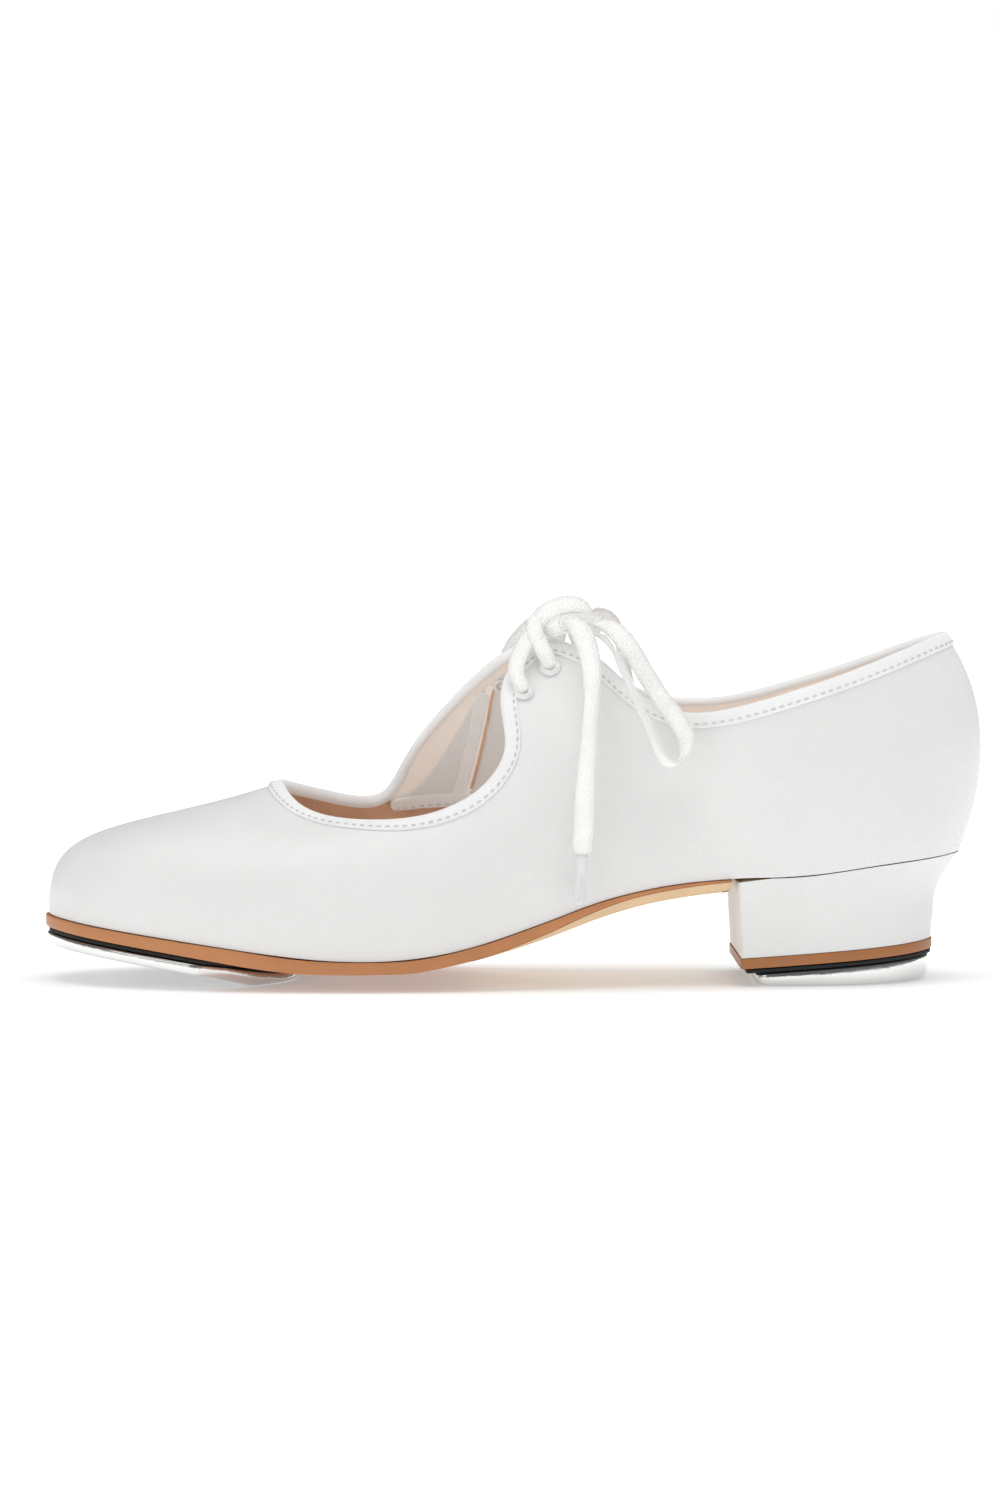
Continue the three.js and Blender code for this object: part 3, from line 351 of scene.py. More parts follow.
def cut_away(piece, cutter_bm):
    """Cut a closed bmesh out of a piece, for good."""
    bmesh.ops.recalc_face_normals(cutter_bm, faces=cutter_bm.faces)
    mesh = bpy.data.meshes.new("cutter")
    cutter_bm.to_mesh(mesh)
    cutter_bm.free()
    cutter = bpy.data.objects.new("cutter", mesh)
    bpy.context.scene.collection.objects.link(cutter)
    modifier = piece.modifiers.new("cut", "BOOLEAN")
    modifier.operation = "DIFFERENCE"
    modifier.solver = "EXACT"
    modifier.object = cutter
    bpy.context.view_layer.update()
    result = bpy.data.meshes.new_from_object(piece.evaluated_get(
        bpy.context.evaluated_depsgraph_get()))
    piece.modifiers.clear()
    piece.data = result
    bpy.data.objects.remove(cutter)
    return piece


def axis_matrix(point, axis):
    """Matrix that puts +Z along an axis at a point given in mm."""
    turn = Vector((0, 0, 1)).rotation_difference(Vector(axis)).to_matrix().to_4x4()
    return Matrix.Translation(Vector(point) * MM) @ turn


def turned(profile, matrix, steps):
    """Spin a profile of (radius, height) in mm round +Z, then place it."""
    bm = bmesh.new()
    verts = [bm.verts.new((r * MM, 0, h * MM)) for r, h in profile]
    edges = [bm.edges.new(pair) for pair in zip(verts, verts[1:])]
    bmesh.ops.spin(bm, geom=verts + edges, cent=(0, 0, 0), axis=(0, 0, 1),
                   angle=2 * math.pi, steps=steps, use_merge=True)
    bmesh.ops.remove_doubles(bm, verts=bm.verts, dist=1e-6)
    bmesh.ops.transform(bm, matrix=matrix, verts=bm.verts)
    bmesh.ops.recalc_face_normals(bm, faces=bm.faces)
    return bm


def resample(loop, count, passes=0):
    """Even spacing round a closed plan loop, with corners softened by passes of smoothing."""
    loop = np.asarray(loop, float)
    closed = np.vstack([loop, loop[:1]])
    reach = run_of(closed)
    even = at_run(np.linspace(0, reach[-1], count, endpoint=False), reach, closed)
    for _ in range(passes):
        even = 0.5 * even + 0.25 * (np.roll(even, 1, 0) + np.roll(even, -1, 0))
    return even


def slab(loop, top, bottom, round_top, round_bottom, spine_end=26.0):
    """Closed plate with a plan loop, sloping faces and rounded edges."""
    along = unit(np.roll(loop, -1, 0) - np.roll(loop, 1, 0))
    area = np.sum(loop[:, 0] * np.roll(loop[:, 1], -1) - loop[:, 1] * np.roll(loop[:, 0], -1))
    inward = np.column_stack([-along[:, 1], along[:, 0]]) * np.sign(area)
    x0, x1 = loop[:, 0].min() + spine_end, loop[:, 0].max() - spine_end
    if x0 > x1:
        x0 = x1 = (x0 + x1) / 2
    spine = np.column_stack([np.clip(loop[:, 0], x0, x1), np.full(len(loop), loop[:, 1].mean())])
    rows = []

    def face_rows(height, shares, inset):
        for share in shares:
            p = loop + inward * np.reshape(inset, (-1, 1))
            p = p * (1 - share) + spine * share
            rows.append(np.column_stack([p, height(p[:, 0])]))

    def edge_rows(height, radius, sign, order):
        radius = np.broadcast_to(radius, (len(loop),))
        for angle in order:
            back = radius * (1 - math.cos(angle))
            lift = radius * (1 - math.sin(angle))
            p = loop + inward * back[:, None]
            rows.append(np.column_stack([p, height(p[:, 0]) + sign * lift]))

    quarter = [math.pi / 2 * f for f in (1, 0.75, 0.5, 0.25, 0)]
    face_rows(bottom, (0.96, 0.7, 0.4, 0.15, 0.03), round_bottom)
    edge_rows(bottom, round_bottom, 1, quarter)
    edge_rows(top, round_top, -1, quarter[::-1])
    face_rows(top, (0.03, 0.15, 0.4, 0.7, 0.96), round_top)

    def place(u, row):
        return rows[row][np.rint(u * len(loop)).astype(int) % len(loop)]
    return grid(len(loop), len(rows), place, uv_size=(400.0, 80.0))


def smooth_route(route, count):
    """Even points on a smooth curve through a route."""
    route = np.asarray(route, float)
    ends = np.vstack([2 * route[0] - route[1], route, 2 * route[-1] - route[-2]])
    fine = []
    for i in range(1, len(ends) - 2):
        p0, p1, p2, p3 = ends[i - 1:i + 3]
        for f in np.linspace(0, 1, 24, endpoint=False):
            fine.append(0.5 * (2 * p1 + (p2 - p0) * f + (2 * p0 - 5 * p1 + 4 * p2 - p3) * f ** 2
                               + (3 * p1 - p0 - 3 * p2 + p3) * f ** 3))
    fine = np.array(fine + [route[-1]])
    reach = run_of(fine)
    return at_run(np.linspace(0, reach[-1], count), reach, fine), reach[-1]


LACE_SECTION = 20          # points round the lace
LACE_STEP = 0.7            # length of one step along it
FLAT_POWER = 0.62          # powers that square off the lace's section, across and through it
DEEP_POWER = 0.45
LOOP_SPREAD = 20.0         # lace length over which a loop turns on edge
LOOP_LEAN = 0.42           # angle between the open part of a loop and its own plane's edge
END_TWIST = 0.85           # largest turn of a hanging end


def ribbon(route, width, wall, facing):
    """Flat woven lace along a route in mm, its flat side turned to the facing of each point."""
    route = np.asarray(route, float)
    reach = run_of(route)
    count = max(12, int(reach[-1] / LACE_STEP))
    line, length = smooth_route(route, count + 1)
    along = unit(np.gradient(line, axis=0))
    flat = at_run(np.linspace(0, reach[-1], len(line)), reach, facing)
    side = unit(np.cross(along, flat))
    for _ in range(6):
        side = unit(side + np.vstack([side[:1], side[:-1]]) + np.vstack([side[1:], side[-1:]]))
    normal = unit(np.cross(side, along))

    def place(u, row):
        i = np.rint(u * count).astype(int)
        angle = 2 * math.pi * row / LACE_SECTION
        c, s = math.cos(angle), math.sin(angle)
        across = math.copysign(abs(c) ** FLAT_POWER, c) * width / 2
        deep = math.copysign(abs(s) ** DEEP_POWER, s) * wall / 2 * (0.75 + 0.25 * abs(c))
        share = np.minimum(np.minimum(i, count - i) / 2.0, 1)
        close = np.sqrt(0.15 + 0.85 * share)[:, None]
        return line[i] + (side[i] * across + normal[i] * deep) * close
    bm = grid(count, LACE_SECTION, place, closed_u=False, closed_v=True,
              uv_size=(length, 2 * (width + wall)))
    return bm, line, length


def loop_facing(line):
    """Lace of a bow loop: flat by the knot, then nearly on edge so that the loop stands open."""
    across = np.linalg.svd(line - line.mean(axis=0))[2][2]
    across = across * np.sign(across[1] * line[:, 1].mean())
    along = unit(np.gradient(line, axis=0))
    reach = run_of(line)
    share = ramp(np.minimum(reach, reach[-1] - reach), 0, LOOP_SPREAD)[:, None]
    lean = math.pi / 2 - (math.pi / 2 - LOOP_LEAN) * eased(share)
    return np.cross(along, across) * np.cos(lean) + across * np.sin(lean)


def end_facing(line):
    """Hanging lace: flat against the shoe, with a twist half way down."""
    out = line * np.array((0, 1, 0.5)) - np.array((0, 0, 25))
    along = unit(np.gradient(line, axis=0))
    share = np.linspace(0, 1, len(line))[:, None]
    turn = END_TWIST * np.sin(math.pi * share) ** 2
    out = unit(out - along * np.sum(out * along, axis=1)[:, None])
    return out * np.cos(turn) + np.cross(along, out) * np.sin(turn)


def join(parts):
    """Several bmeshes as one."""
    whole = bmesh.new()
    for part in parts:
        close_ends(part)
        mesh = bpy.data.meshes.new("part")
        part.to_mesh(mesh)
        part.free()
        whole.from_mesh(mesh)
        bpy.data.meshes.remove(mesh)
    return whole


STITCH_LENGTH = 1.5
STITCH_RADIUS = 0.27


def stitch_row(points, normals):
    """Row of thread stitches along a line of points in mm, one small capsule each."""
    reach = run_of(points)
    pitch = millimetres("stitch_pitch")
    bm = bmesh.new()
    for where in np.arange(pitch / 2, reach[-1], pitch):
        spot = at_run(where, reach, points)
        ahead = at_run(where + 0.4, reach, points)
        normal = unit(at_run(where, reach, normals))
        along = ahead - spot
        if np.linalg.norm(along) < 1e-6:
            continue
        along = unit(along)
        side = unit(np.cross(normal, along))
        turn = Matrix(np.column_stack([along, side, np.cross(along, side)]).tolist()).to_4x4()
        place = Matrix.Translation(Vector(spot) * MM) @ turn
        stretch = Matrix.Diagonal((STITCH_LENGTH / 2 / STITCH_RADIUS, 1, 0.8, 1))
        bmesh.ops.create_uvsphere(bm, u_segments=6, v_segments=4, radius=STITCH_RADIUS * MM,
                                  matrix=place @ stretch)
    return bm


# ---- node tools
def add_node(tree, kind, inputs=(), **settings):
    """Add a node, set its properties, then its sockets: a value is set, a socket is linked."""
    node = tree.nodes.new("ShaderNode" + kind)
    for name, value in settings.items():
        setattr(node, name, value)
    for name, value in dict(inputs).items():
        socket = node.inputs[name]
        if isinstance(value, bpy.types.NodeSocket):
            tree.links.new(value, socket)
        else:
            socket.default_value = value
    return node


def shader_group(name, inputs, outputs, build):
    """Node group with named inputs (name, type, default) and outputs (name, type)."""
    group = bpy.data.node_groups.new(name, "ShaderNodeTree")
    for label, kind, default in inputs:
        socket = group.interface.new_socket(label, in_out="INPUT", socket_type=kind)
        socket.default_value = default
    for label, kind in outputs:
        group.interface.new_socket(label, in_out="OUTPUT", socket_type=kind)
    entry = group.nodes.new("NodeGroupInput")
    leave = group.nodes.new("NodeGroupOutput")
    for label, socket in build(group, entry.outputs).items():
        group.links.new(socket, leave.inputs[label])
    return group


def build_mottle(tree, given):
    """Soft cloudy mask in Object space."""
    place = add_node(tree, "TexCoord").outputs["Object"]
    noise = add_node(tree, "TexNoise", {
        "Vector": place, "Scale": given["Scale"], "Detail": 4.0, "Roughness": 0.55})
    ramp = add_node(tree, "MapRange", {
        "Value": noise.outputs["Fac"], "From Min": 0.32, "From Max": 0.68})
    return {"Mask": ramp.outputs["Result"]}


def build_grain(tree, given):
    """Fine embossed grain of coated cloth."""
    place = add_node(tree, "TexCoord").outputs["Object"]
    cells = add_node(tree, "TexVoronoi", {
        "Vector": place, "Scale": given["Scale"], "Randomness": 0.9},
        feature="DISTANCE_TO_EDGE")
    lines = add_node(tree, "MapRange", {
        "Value": cells.outputs["Distance"], "From Min": 0.0, "From Max": 0.12})
    soft = add_node(tree, "TexNoise", {
        "Vector": place, "Scale": given["Scale"], "Detail": 3.0})
    mix = add_node(tree, "Math", {
        0: lines.outputs["Result"], 1: soft.outputs["Fac"]}, operation="ADD")
    return {"Height": mix.outputs["Value"]}


def build_weave(tree, given):
    """Over-and-under weave from the piece's own UVs, which are in millimetres."""
    uv = add_node(tree, "TexCoord").outputs["UV"]
    scaled = add_node(tree, "VectorMath", {0: uv, 3: given["Threads"]},
                      operation="SCALE")
    parts = add_node(tree, "SeparateXYZ", {"Vector": scaled.outputs["Vector"]})
    waves = []
    for label, shift in (("X", 0.0), ("Y", 0.5)):
        turn = add_node(tree, "Math", {
            0: parts.outputs[label], 1: 2 * math.pi, 2: shift * math.pi},
            operation="MULTIPLY_ADD")
        waves.append(add_node(tree, "Math", {0: turn.outputs["Value"]},
                              operation="SINE"))
    cross = add_node(tree, "Math", {
        0: waves[0].outputs["Value"], 1: waves[1].outputs["Value"]}, operation="MULTIPLY")
    height = add_node(tree, "MapRange", {
        "Value": cross.outputs["Value"], "From Min": -1.0, "From Max": 1.0})
    return {"Height": height.outputs["Result"]}


def build_scuff(tree, given):
    """Fine scratches and rubbed patches."""
    place = add_node(tree, "TexCoord").outputs["Object"]
    stretch = add_node(tree, "Mapping", {
        "Vector": place, "Scale": (900.0, 90.0, 900.0), "Rotation": (0.0, 0.0, 0.5)})
    lines = add_node(tree, "TexNoise", {
        "Vector": stretch.outputs["Vector"], "Scale": 1.0, "Detail": 2.0})
    sharp = add_node(tree, "MapRange", {
        "Value": lines.outputs["Fac"], "From Min": 0.45, "From Max": 0.7})
    patch = add_node(tree, "TexNoise", {
        "Vector": place, "Scale": given["Scale"], "Detail": 2.0})
    both = add_node(tree, "Math", {
        0: sharp.outputs["Result"], 1: patch.outputs["Fac"]}, operation="MULTIPLY")
    return {"Mask": both.outputs["Value"]}


FLOAT = "NodeSocketFloat"
GROUPS = {}


def make_groups():
    specs = (
        ("Soft Mottle", [("Scale", FLOAT, 40.0)], [("Mask", FLOAT)], build_mottle),
        ("Fine Grain", [("Scale", FLOAT, 1500.0)], [("Height", FLOAT)], build_grain),
        ("Woven Threads", [("Threads", FLOAT, 1.0)], [("Height", FLOAT)], build_weave),
        ("Scuffs", [("Scale", FLOAT, 60.0)], [("Mask", FLOAT)], build_scuff),
    )
    for name, inputs, outputs, build in specs:
        GROUPS[name] = shader_group(name, inputs, outputs, build)


def effect(tree, name, **inputs):
    node = add_node(tree, "Group", node_tree=GROUPS[name])
    for label, value in inputs.items():
        node.inputs[label].default_value = value
    return node


def shade_of(colour, factor):
    return tuple(min(1.0, c * factor) for c in colour[:3]) + (1.0,)


def surface(name, colour, rough, mottle=40.0, contrast=0.94, rough_spread=0.06, relief="Fine Grain",
            relief_scale=1500.0, depth=0.00004, metallic=0.0, **sockets):
    """Procedural finish: two close tones, varying gloss and a fine relief."""
    material = bpy.data.materials.new(name)
    material.use_nodes = True
    tree = material.node_tree
    shader = tree.nodes["Principled BSDF"]
    cloud = effect(tree, "Soft Mottle", Scale=mottle).outputs["Mask"]
    tones = add_node(tree, "Mix", {"Factor": cloud}, data_type="RGBA")
    tones.inputs[6].default_value = shade_of(colour, contrast)
    tones.inputs[7].default_value = shade_of(colour, 1.0)
    tree.links.new(tones.outputs[2], shader.inputs["Base Color"])
    gloss = add_node(tree, "MapRange", {
        "Value": cloud, "To Min": rough - rough_spread, "To Max": rough + rough_spread})
    tree.links.new(gloss.outputs["Result"], shader.inputs["Roughness"])
    shader.inputs["Metallic"].default_value = metallic
    for label, value in sockets.items():
        shader.inputs[label.replace("_", " ").title()].default_value = value
    label = "Threads" if relief == "Woven Threads" else "Scale"
    source = effect(tree, relief, **{label: relief_scale})
    height = source.outputs["Mask" if relief == "Scuffs" else "Height"]
    bump = add_node(tree, "Bump", {
        "Height": height, "Distance": depth, "Strength": 1.0})
    tree.links.new(bump.outputs["Normal"], shader.inputs["Normal"])
    return material


# ---- finishes
# For each slot: name, colour, roughness, scale and contrast of the mottle, then what differs
# from the plain grained surface.
SCUFFED, WOVEN = {"relief": "Scuffs"}, {"relief": "Woven Threads"}
FINISHES = {
    "white_coated_fabric": ("White coated cloth", (0.85, 0.85, 0.84), 0.42, 30, 0.965, dict(
        relief_scale=1300, depth=0.00003, sheen_weight=0.15, coat_weight=0.12,
        coat_roughness=0.35)),
    "white_binding_tape": ("White binding tape", (0.92, 0.92, 0.915), 0.6, 90, 0.95, dict(
        WOVEN, relief_scale=0.9, depth=0.00006, sheen_weight=0.25)),
    # The thread is toned greyer than the white tape: painted shade, so that the stitch lines read
    # darker, as if shaded in their holes.
    "white_thread": ("White thread", (0.73, 0.73, 0.70), 0.55, 400, 0.85, dict(
        relief_scale=4000, sheen_weight=0.3)),
    "tan_lining": ("Tan lining leather", (0.80, 0.50, 0.33), 0.62, 70, 0.86, dict(
        relief_scale=1100, depth=0.00008)),
    # The cream lining glows faintly wherever this finish is used: painted light standing in for
    # light that shines through the thin lining.
    "cream_lining": ("Cream lining leather", (0.88, 0.79, 0.71), 0.6, 60, 0.9, dict(
        relief_scale=1200, depth=0.00006, emission_color=(1, 0.94, 0.9, 1),
        emission_strength=0.16)),
    "tan_sole": ("Tan resin sole", (0.58, 0.235, 0.085), 0.48, 55, 0.84, dict(
        SCUFFED, relief_scale=60, depth=0.00005, coat_weight=0.1)),
    "sole_bevel": ("Buff sole bevel", (0.80, 0.57, 0.34), 0.5, 55, 0.9, dict(
        SCUFFED, relief_scale=60, depth=0.00004, coat_weight=0.1)),
    "lift_resin": ("Tan toplift", (0.45, 0.175, 0.055), 0.45, 80, 0.85, dict(
        SCUFFED, relief_scale=80, depth=0.00004)),
    "black_fibre_board": ("Black fibre board", (0.015, 0.017, 0.02), 0.7, 120, 0.7, dict(
        relief_scale=900, depth=0.0001)),
    "tap_aluminium": ("Polished tap alloy", (0.80, 0.80, 0.785), 0.11, 45, 0.92, dict(
        SCUFFED, rough_spread=0.04, relief_scale=70, depth=0.000012, metallic=1.0)),
    "steel": ("Zinc-plated steel", (0.55, 0.56, 0.58), 0.3, 120, 0.85, dict(
        SCUFFED, relief_scale=90, depth=0.00001, metallic=1.0)),
    "white_enamel": ("White enamel", (0.86, 0.86, 0.85), 0.22, 200, 0.96, dict(
        relief_scale=600, depth=0.00001, coat_weight=0.5)),
    # The lace glows faintly: painted light standing in for light passing through the white woven
    # cloth.
    "white_lace": ("White woven lace", (0.95, 0.945, 0.925), 0.8, 150, 0.92, dict(
        WOVEN, relief_scale=1.25, depth=0.00025, sheen_weight=0.4,
        emission_color=(1, 1, 0.98, 1), emission_strength=0.14)),
    "clear_aglet": ("Lace tip film", (0.80, 0.81, 0.82), 0.18, 300, 0.92, dict(
        relief_scale=500, depth=0.00002, coat_weight=0.6)),
    "cork_filler": ("Cork filler", (0.36, 0.22, 0.12), 0.9, 400, 0.6, dict(
        relief_scale=700, depth=0.0002)),
    "stiffener_board": ("Stiffener board", (0.62, 0.55, 0.44), 0.85, 150, 0.8, dict(
        relief_scale=900, depth=0.0001)),
    "heel_wood": ("Beech heel core", (0.60, 0.42, 0.24), 0.6, 90, 0.75, dict(
        SCUFFED, relief_scale=120, depth=0.0001)),
    # The floor's glow is painted shade under the shoe and painted light beyond it; its level is set
    # by place in paint_floor_glow.
    "floor": ("White paper floor", (0.74, 0.745, 0.75), 0.9, 6, 0.995, dict(
        relief_scale=300, depth=0.00001, emission_strength=1.0)),
}
MADE = {}


def finish_of(slot):
    """The material of one slot, made once."""
    if not GROUPS:
        make_groups()
    if slot not in MADE:
        *plain, special = FINISHES[slot]
        MADE[slot] = surface(*plain, **special)
    return MADE[slot]


# Glow of the floor, painted by place: low under the shoe as a painted contact shadow, high beyond
# its footprint as painted light that washes out the shoe's cast shadow. For each glow: stretch of
# the distance from the middle, the distances in metres at which the glow starts and stops to grow,
# and its two levels.
GLOWS = (((0.34, 1, 1), 0.03, 0.08, 0.3, 0.55), ((1, 1, 1), 0.15, 0.8, 0, 0.45))


def paint_floor_glow(material):
    """Paint the floor's glow, as on a light table: dim under the shoe as a painted contact shadow,
    bright beyond its footprint as painted light that washes out the cast shadow there.
    """
    tree = material.node_tree
    place = add_node(tree, "TexCoord").outputs["Object"]
    levels = []
    for stretch, start, end, low, high in GLOWS:
        spot = add_node(tree, "VectorMath", {0: place, 1: stretch},
                        operation="MULTIPLY").outputs["Vector"]
        away = add_node(tree, "VectorMath", {0: spot}, operation="LENGTH")
        level = add_node(tree, "MapRange", {
            "Value": away.outputs["Value"], "From Min": start, "From Max": end,
            "To Min": low, "To Max": high}, interpolation_type="SMOOTHSTEP")
        levels.append(level.outputs["Result"])
    glow = add_node(tree, "Math", dict(enumerate(levels)), operation="ADD")
    tree.links.new(glow.outputs["Value"], tree.nodes["Principled BSDF"].inputs["Emission Color"])
    return material


# ---- settings
class TapShoeSettings(bpy.types.PropertyGroup):
    upper_wall: FloatProperty(
        name="Upper thickness", description="Thickness of the white upper",
        default=1.2 * MM, min=0.6 * MM, max=2 * MM, subtype="DISTANCE", unit="LENGTH")
    binding_depth: FloatProperty(
        name="Binding depth", description="How far the folded tape reaches down from the edge",
        default=3.9 * MM, min=2 * MM, max=6 * MM, subtype="DISTANCE", unit="LENGTH")
    stitch_pitch: FloatProperty(
        name="Stitch pitch", description="Distance from one stitch to the next",
        default=2.3 * MM, min=1.5 * MM, max=5 * MM, subtype="DISTANCE", unit="LENGTH")
    sole_edge: FloatProperty(
        name="Sole edge", description="How far the sole stands out past the upper",
        default=0.9 * MM, min=0, max=3 * MM, subtype="DISTANCE", unit="LENGTH")
    lace_width: FloatProperty(
        name="Lace width", description="Width of the flat lace in the bow",
        default=6.6 * MM, min=3 * MM, max=9 * MM, subtype="DISTANCE", unit="LENGTH")
    lace_wall: FloatProperty(
        name="Lace thickness", description="Thickness of the flat lace",
        default=1.1 * MM, min=0.6 * MM, max=2 * MM, subtype="DISTANCE", unit="LENGTH")
    background: FloatVectorProperty(
        name="Background", description="Colour of the studio round the shoe",
        default=(1.0, 1.0, 1.0), min=0, max=1, subtype="COLOR")


def settings():
    return bpy.context.scene.tap_shoe


def millimetres(name):
    return getattr(settings(), name) / MM


# ---- camera and lace
CAMERA_LENS = 139.1
CAMERA_DISTANCE = 1.55
CAMERA_AIM = Vector((-0.0035, 0.0, 0.061))
CAMERA_RISE = math.radians(3.3)
CAMERA_TURN = math.radians(1.3)


class TAPSHOE_OT_camera(bpy.types.Operator):
    """Places the camera low at the outer side of the shoe"""
    bl_idname = "tapshoe.camera"
    bl_label = "Camera"

    def execute(self, context):
        data = bpy.data.cameras.new("Studio camera")
        data.sensor_fit = "VERTICAL"
        data.sensor_height = 36
        data.lens = CAMERA_LENS
        data.clip_start = 0.05
        camera = bpy.data.objects.new("Studio camera", data)
        context.scene.collection.objects.link(camera)
        flat = math.cos(CAMERA_RISE) * CAMERA_DISTANCE
        camera.location = CAMERA_AIM + Vector((
            -math.sin(CAMERA_TURN) * flat, -math.cos(CAMERA_TURN) * flat,
            math.sin(CAMERA_RISE) * CAMERA_DISTANCE))
        camera.rotation_euler = (CAMERA_AIM - camera.location).to_track_quat("-Z", "Y").to_euler()
        context.scene.camera = camera
        return {"FINISHED"}


AGLET_LENGTH = 13.0
AGLET_RADIUS = 1.5


def aglet_bmesh(route):
    """Film tip on the end of a lace, in line with its last stretch."""
    end = np.array(route[-1]) / MM
    along = unit(end - np.array(route[-2]) / MM)
    r = AGLET_RADIUS
    profile = [(0, 0), (r * 0.9, 0), (r * 1.02, 0.3), (r * 1.0, 0.9), (r * 0.93, 1.2),
               (r * 0.93, 6), (r * 0.92, AGLET_LENGTH - 1.2), (r * 0.86, AGLET_LENGTH - 0.5),
               (r * 0.6, AGLET_LENGTH - 0.1), (0, AGLET_LENGTH)]
    return turned(profile, axis_matrix(end, along), steps=24)


class TAPSHOE_OT_free_lace(bpy.types.Operator):
    """Makes the two bow loops and the two hanging ends with their tips"""
    bl_idname = "tapshoe.free_lace"
    bl_label = "Free lace"

    def execute(self, context):
        for name, route in LACE_ROUTES.items():
            hanging = "end" in name
            width = millimetres("lace_width") * (0.86 if hanging else 0.8)
            wall = millimetres("lace_wall")
            line = np.array(route) / MM
            facing = end_facing(line) if hanging else loop_facing(line)
            bm, centres, length = ribbon(line, width, wall, facing)
            lace = finish_piece(bm, name + "_woven", "white_lace", (name,), LACE_BODIES[name],
                                angle=60)
            tips = []
            if hanging:
                side = name.rsplit("_", 1)[1]
                tips = [finish_piece(aglet_bmesh(route), f"aglet_{side}_film", "clear_aglet",
                                     (f"aglet_{side}",), LACE_BODIES[name])]
            path = [tuple(p * MM) for p in centres]
            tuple(route[0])
        return {"FINISHED"}


KNOT_STRAPS = (            # offsets from the middle of the knot, and width
    ([(-6.8, -4.5, -3.4), (-5.6, -5.9, 0.2), (-2.2, -6.4, 3.0), (2.4, -5.4, 3.9), (6.4, -3, 2.4),
      (8, -0.5, -0.6)], 5.4),
    ([(-7.2, -4.6, -1.2), (-5.4, -3.2, 2.2), (-1.6, -1.2, 3.9), (3, 1, 3.8), (6.6, 3, 1.8),
      (8.2, 4.6, -0.8)], 6.0),
    ([(-4.6, -6.4, -3.2), (-0.6, -7.4, -1.6), (3.6, -7.2, -1), (8, -5.4, -1.2), (11, -4.6, -1.4)],
     5.6),
    ([(-6.4, 4.2, -3), (-5, 5.8, 0.4), (-1.6, 6.2, 2.6), (3, 5.2, 3.2), (6.6, 2.6, 2),
      (7.6, 0.4, -0.8)], 5.4),
    ([(-3, 6.2, -2.6), (1, 7, -1), (4.8, 7, -0.4), (8, 6.6, -0.2)], 5.4),
    ([(1.5, -5, 1.6), (0.8, -7, 0.6), (1.2, -8, -0.8), (2.6, -9.4, -2.4)], 4.8),
)
STRAND_ROUTES = {          # where each strand goes once it is out of its eyelet
    "eyelet_outer_front": [(0.4, -15.5, 83.2), (2.4, -11.2, 89), (6, -6.8, 93), (10.5, -3, 95)],
    "eyelet_outer_rear": [(7.6, -11.6, 88.4), (5.6, -8.8, 93), (6.4, -5.4, 96.4), (10, -2.5, 97.6)],
    "eyelet_inner_front": [(-1.4, 15.4, 84.6), (1, 11.2, 89.6), (5, 6.4, 94.2), (8.6, 2.4, 96.4)],
    "eyelet_inner_rear": [(5.4, 11.8, 89.6), (6, 8, 94), (9.4, 3.4, 96.4)],
}


class TAPSHOE_OT_knot(bpy.types.Operator):
    """Makes the knot of the bow and the lace that rises to it through the eyelets"""
    bl_idname = "tapshoe.knot"
    bl_label = "Knot"

    def execute(self, context):
        wall = millimetres("lace_wall")
        core = bmesh.new()
        bmesh.ops.create_uvsphere(core, u_segments=32, v_segments=18, radius=1.0, matrix=(
            Matrix.Translation(Vector(KNOT) * MM)
            @ Matrix.Diagonal((6.2 * MM, 5.6 * MM, 3.2 * MM, 1))))
        parts = [core]
        for offsets, width in KNOT_STRAPS:
            offsets = np.array(offsets, float)
            parts.append(ribbon(offsets + KNOT, width, wall * 1.2, facing=unit(offsets))[0])
        finish_piece(join(parts), "lace_knot_woven", "white_lace",
                     replaces=("lace_knot",), angle=60)
        for name, beyond in STRAND_ROUTES.items():
            spot, _, up, normal = eyelet_frame(name)
            down = -unit(up)
            route = [spot - normal * 3.2, spot, spot + normal * 1.7 - down * 0.9] + beyond
            facing = [down, down, unit(down + normal)] + [normal] * len(beyond)
            bm = ribbon(np.array(route), 4.4, wall * 1.15, facing=np.array(facing))[0]
            finish_piece(bm, name.replace("eyelet", "strand") + "_woven", "white_lace",
                         replaces=(name.replace("eyelet", "lace_strand"),), angle=60)
        return {"FINISHED"}


# ---- upper
def eyelet_frame(name):
    """Point on the wall, directions and outward normal at an eyelet."""
    x, z, side = EYELET_PLACES[name]
    low, high = (8, 17) if side == "outer" else (OUTER_COUNT + 7, OUTER_COUNT + 17)
    u, t = np.meshgrid(np.linspace(low, high, 200) / COUNT, np.linspace(0.4, 1, 160))
    points = wall_point(u, t)
    miss = np.hypot(points[..., 0] - x, points[..., 2] - z)
    best = np.unravel_index(np.argmin(miss), miss.shape)
    return wall_frame(u[best], t[best])


BARREL_RADIUS = 2.0


def barrel_cutters(side):
    """Round holes for the eyelets of one side."""
    rods = []
    for name, place in EYELET_PLACES.items():
        if place[2] == side:
            spot, _, _, normal = eyelet_frame(name)
            rod = bmesh.new()
            bmesh.ops.create_cone(
                rod, cap_ends=True, segments=24, radius1=BARREL_RADIUS * MM,
                radius2=BARREL_RADIUS * MM, depth=12 * MM, matrix=axis_matrix(spot, normal))
            rods.append(rod)
    return join(rods)


